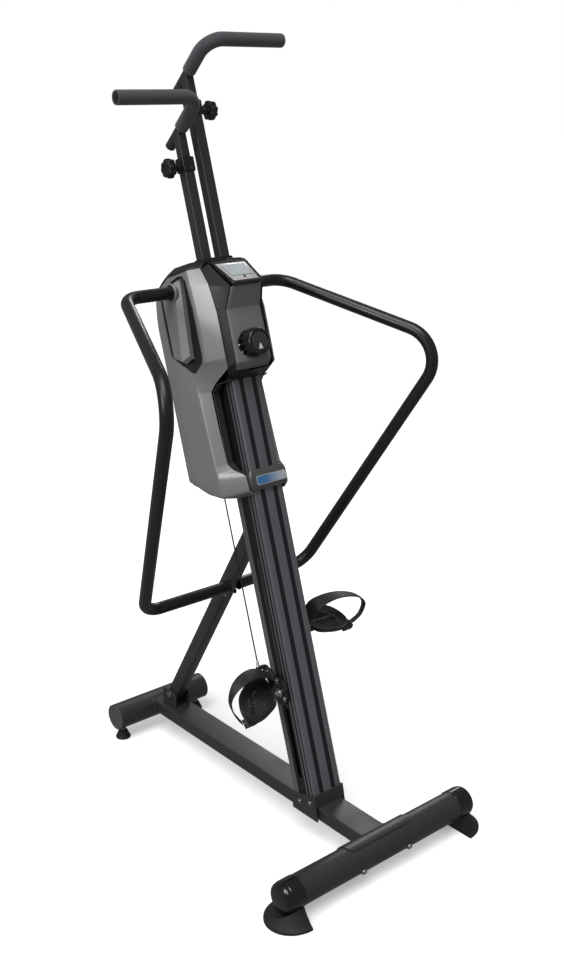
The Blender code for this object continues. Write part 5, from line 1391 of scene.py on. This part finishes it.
def grip_mesh(run, across):
    """A foam sleeve whose ends are rolled in towards the tube."""
    start = (run[1] - run[0]).normalized()
    points = [run[0] + start * d for d in (0, 0.0006, 0.0018, 0.0040)]
    widths = [0.86, 0.95, 0.99, 1.0]
    length = (run[1] - run[0]).length
    points += [run[0] + start * (length * k) for k in (0.3, 0.6, 0.9)] + run[1:-1]
    tail = run[-1] - run[-2]
    points += [run[-2] + tail * k for k in (0.25, 0.5, 0.75)]
    widths += [1.0] * (len(points) - len(widths))
    points += [run[-1] - across * d for d in (0.0040, 0.0018, 0.0006, 0)]
    widths += [1.0, 0.99, 0.95, 0.86]
    return sweep(points, GRIP_R, 48, HANDLE_R + 0.0003, widths)


def carriage(side, sign, place, body):
    outline = [(0.018, 0.012), (0.020, -0.012), (0.032, -0.030), (0.046, -0.036),
               (0.062, -0.030), (0.074, -0.010), (0.092, 0.040), (0.106, 0.060),
               (0.106, 0.070), (0.088, 0.070), (0.060, 0.044), (0.030, 0.036)]
    smooth = rounded([(y, s, 0) for y, s in outline], 0.0060, 6)
    plate = side_prism([p[:2] for p in smooth], 0.0475, 0.0550)
    show(f"carriage_plate_{side}", mirrored(plate, sign), BLACK, place, body,
         f"{side}_carriage", bevel=0.0014)
    half = SLOT_WIDTH / 2 - 0.0008
    neck = box((ARM_X + ARM_HALF + 0.0003, SLOT_DEPTH - half, -0.026),
               (0.050, SLOT_DEPTH + half, 0.030))
    show(f"carriage_neck_{side}", mirrored(neck, sign), BLACK, place, body,
         f"{side}_carriage", bevel=0.0015)
    lug = box((0.0520, 0.0915, 0.0610), (0.0745, 0.1045, 0.0700))
    show(f"cable_lug_{side}", mirrored(lug, sign), BLACK, place, body,
         f"{side}_carriage", bevel=0.0015)
    turn = Matrix.Rotation(sign * math.pi / 2, 4, "Y")
    for i, (depth, s) in enumerate(((0.050, 0.031), (0.032, -0.016), (0.086, 0.052))):
        spot = place @ Matrix.Translation((sign * 0.0549, depth, s)) @ turn
        show(f"carriage_bolt_{side}_{i}", bolt_head(0.0050, 0.0034, 0.0070), STEEL, spot,
             body)
    rod = sweep([(sign * CABLE_X, CABLE_DEPTH, 0.0705),
                 (sign * CABLE_X, CABLE_DEPTH, 0.0705 + CABLE_LENGTH)], 0.0019, 16)
    show(f"cable_rod_{side}", rod, CABLE, place, body, f"{side}_cable")
    ferrule = lathe([(0, 0.0555), (0.0030, 0.0555), (0.0036, 0.0562), (0.0036, 0.0610),
                     (0.0046, 0.0612), (0.0046, 0.0700), (0.0040, 0.0708),
                     (0.0036, 0.0850), (0.0022, 0.0868), (0, 0.0868)], 24)
    show(f"cable_ferrule_{side}", ferrule, STEEL,
         place @ Matrix.Translation((sign * CABLE_X, CABLE_DEPTH, 0)), body)


def pedal(side, sign, place):
    body = f"{side}_pedal_swing"
    hub = place @ Matrix.Translation((0, SLOT_DEPTH, 0))
    turn = ALONG_X if sign > 0 else Matrix.Rotation(-math.pi / 2, 4, "Y")
    axle = [(0, 0.0555), (0.0120, 0.0555), (0.0120, 0.0600), (0.0100, 0.0612),
            (0.0095, 0.0620), (0.0095, 0.0758), (0.0075, 0.0775), (0.0060, 0.0780),
            (0.0060, 0.1672), (0.0052, 0.1680), (0, 0.1680)]
    show(f"axle_{side}", lathe(axle, 40), STEEL, hub @ turn, f"{side}_arm",
         f"{side}_pedal_axle")
    swing = hub @ Matrix.Rotation(PEDAL_TILT[sign] + LEAN, 4, "X")
    show(f"pedal_shell_{side}", mirrored(pedal_shell(), sign), TREAD, swing, body,
         f"{side}_pedal", sharp=32)
    show(f"pedal_ribs_{side}", mirrored(pedal_ribs(), sign), TREAD, swing, body)
    boss = lathe([(0.0063, 0.0785), (0.0128, 0.0785), (0.0135, 0.0795), (0.0135, 0.1480),
                  (0.0120, 0.1500), (0.0063, 0.1500)], 48, True)
    show(f"pedal_hub_{side}", boss, TREAD, swing @ Matrix.Translation((0, 0, -0.004)) @ turn,
         body)
    show(f"pedal_band_{side}", mirrored(pedal_band(), sign), GLOSS, swing, body)
    for i, turned in enumerate((20, 52)):
        angle = math.radians(turned)
        spot = Matrix.Translation((sign * (0.088 + 0.0730 * math.cos(angle)),
                                   -0.030 + 0.0730 * math.sin(angle), 0.0093))
        show(f"band_screw_{side}_{i}", bolt_head(0.0020, 0.0010, 0.0027), DARK_STEEL,
             swing @ spot, body)
    strap_and_buckle(side, sign, swing, body)


def pedal_shell():
    """The tread body: a shallow dish with a rolled rim and a boat-shaped underside."""
    outline = [tuple(p) for p in smooth_route(TREAD_EDGE, 8, True)]
    rows = [offset_ring(outline, k, z, TREAD_MIDDLE) for k, z in
            ((0.26, -0.0265), (0.42, -0.0245), (0.66, -0.0165), (0.86, -0.0085),
             (0.965, -0.0020), (0.995, 0.0030), (1.0, 0.0062), (0.992, 0.0092),
             (0.965, 0.0108), (0.935, 0.0104), (0.915, 0.0084), (0.900, 0.0076))]
    shell = loft(rows, True, True)
    bore = sweep([(0.04, 0, 0), (0.1692, 0, 0)], 0.0063, 32)
    return combined(shell, bore)


def inside(outline, x, y):
    """Whether a point lies inside an outline."""
    hit = False
    for (ax, ay), (bx, by) in zip(outline, outline[1:] + outline[:1]):
        if (ay > y) != (by > y) and x < ax + (y - ay) / (by - ay) * (bx - ax):
            hit = not hit
    return hit


def pedal_ribs():
    """Nested arcs across the tread, centred on its inner heel corner."""
    edge = [tuple(p) for p in smooth_route(TREAD_EDGE, 8, True)]
    edge = [(x, y) for x, y, _ in offset_ring(edge, 0.87, 0, TREAD_MIDDLE)]
    ribs = []
    for radius in [0.031 + 0.004 * i for i in range(9)] + [0.084, 0.089, 0.094]:
        arc = []
        for step in range(61):
            angle = math.radians(-30 + 2.6 * step)
            x = 0.088 + radius * math.cos(angle)
            y = -0.030 + radius * math.sin(angle)
            if inside(edge, x, y):
                arc.append((x, y, 0.0079))
            elif len(arc) > 2:
                break
            else:
                arc = []
        if len(arc) > 2:
            ribs.append(sweep(arc, 0.0011, 8))
    return joined(*ribs)


def pedal_band():
    """The smooth raised band that crosses the tread between its ribs."""
    rows = []
    for step in range(21):
        angle = math.radians(6 + 3 * step)
        way = Vector((math.cos(angle), math.sin(angle), 0))
        middle = Vector((0.088, -0.030, 0))
        ease = 1 - abs(step - 10) / 10
        half = 0.0022 + 0.0042 * min(1, 3 * ease)
        rows.append([tuple(middle + way * (0.0730 + side * half) + Vector((0, 0, z)))
                     for side, z in ((-1, 0.0070), (-1, 0.0086), (-0.7, 0.0094), (0.7, 0.0094),
                                     (1, 0.0086), (1, 0.0070))])
    return loft(rows, True, True)


def strap_and_buckle(side, sign, swing, body):
    """The toe strap: broad over the foot, narrower where the buckle grips its end."""
    route = STRAP_ROUTE[sign]
    heel = smooth_route([(x, y, z) for x, y, z, _, _ in route], 8)
    toe = smooth_route([(x, y, z) for x, _, _, y, z in route], 8)
    rows, cords = [], []
    for i, (a, b) in enumerate(zip(heel, toe)):
        along = ((heel[min(i + 1, len(heel) - 1)] + toe[min(i + 1, len(toe) - 1)])
                 - (heel[max(i - 1, 0)] + toe[max(i - 1, 0)])).normalized()
        across = (b - a).normalized()
        inward = across.cross(along).normalized()
        lip, wall = across * 0.0010, inward * 0.0028
        rows.append([tuple(q) for q in (a + lip, (a + b) / 2 - inward * 0.0005, b - lip,
                                        b + wall / 2, b - lip + wall, a + lip + wall,
                                        a + wall / 2)])
        if 6 <= i <= 44 and i % 2 == 0:
            cords.append(sweep([a + lip * 3 - inward * 0.0001, (a + b) / 2 - inward * 0.0006,
                                b - lip * 3 - inward * 0.0001], 0.0005, 6))
    show(f"strap_{side}", mirrored(loft(rows, True, True), sign), STRAP, swing, body,
         f"{side}_toe_strap", sharp=50)
    show(f"strap_grain_{side}", mirrored(joined(*cords), sign), STRAP, swing, body)
    lug = [p[:2] for p in rounded([(0.160, -0.009, 0), (0.1885, -0.009, 0),
                                   (0.1918, -0.004, 0), (0.1918, 0.0050, 0),
                                   (0.1860, 0.0070, 0), (0.160, 0.0070, 0)],
                                  [0, 0.002, 0.002, 0.002, 0.002, 0], 4)]
    block = prism(lug, 0.0262, 0.0498)
    block.transform(Matrix.Rotation(math.pi / 2, 4, "X"))
    show(f"buckle_{side}", mirrored(block, sign), TREAD, swing, body,
         f"{side}_pedal", bevel=0.0006)
    teeth = [box((0.1700 + 0.0034 * i, -0.0470, 0.0066), (0.1714 + 0.0034 * i, -0.0290, 0.0078))
             for i in range(5)]
    show(f"buckle_ridges_{side}", mirrored(joined(*teeth), sign), TREAD, swing, body)
    turn = Matrix.Rotation(sign * math.pi / 2, 4, "Y")
    spot = swing @ Matrix.Translation((sign * 0.1918, -0.0380, 0.0035)) @ turn
    show(f"buckle_screw_{side}", bolt_head(0.0024, 0.0014, 0.0032), STEEL, spot, body)


def build():
    front_stabiliser()
    rear_stabiliser()
    beam_and_saddle()
    column_socket()
    column()
    brace()
    side_bars()
    side_covers()
    top_cover()
    console()
    resistance_knob()
    lower_collar()
    hidden_drive()
    for side, sign in SIDES.items():
        arm(side, sign)


build()
lay_floor()
aim_camera()
light_the_studio()
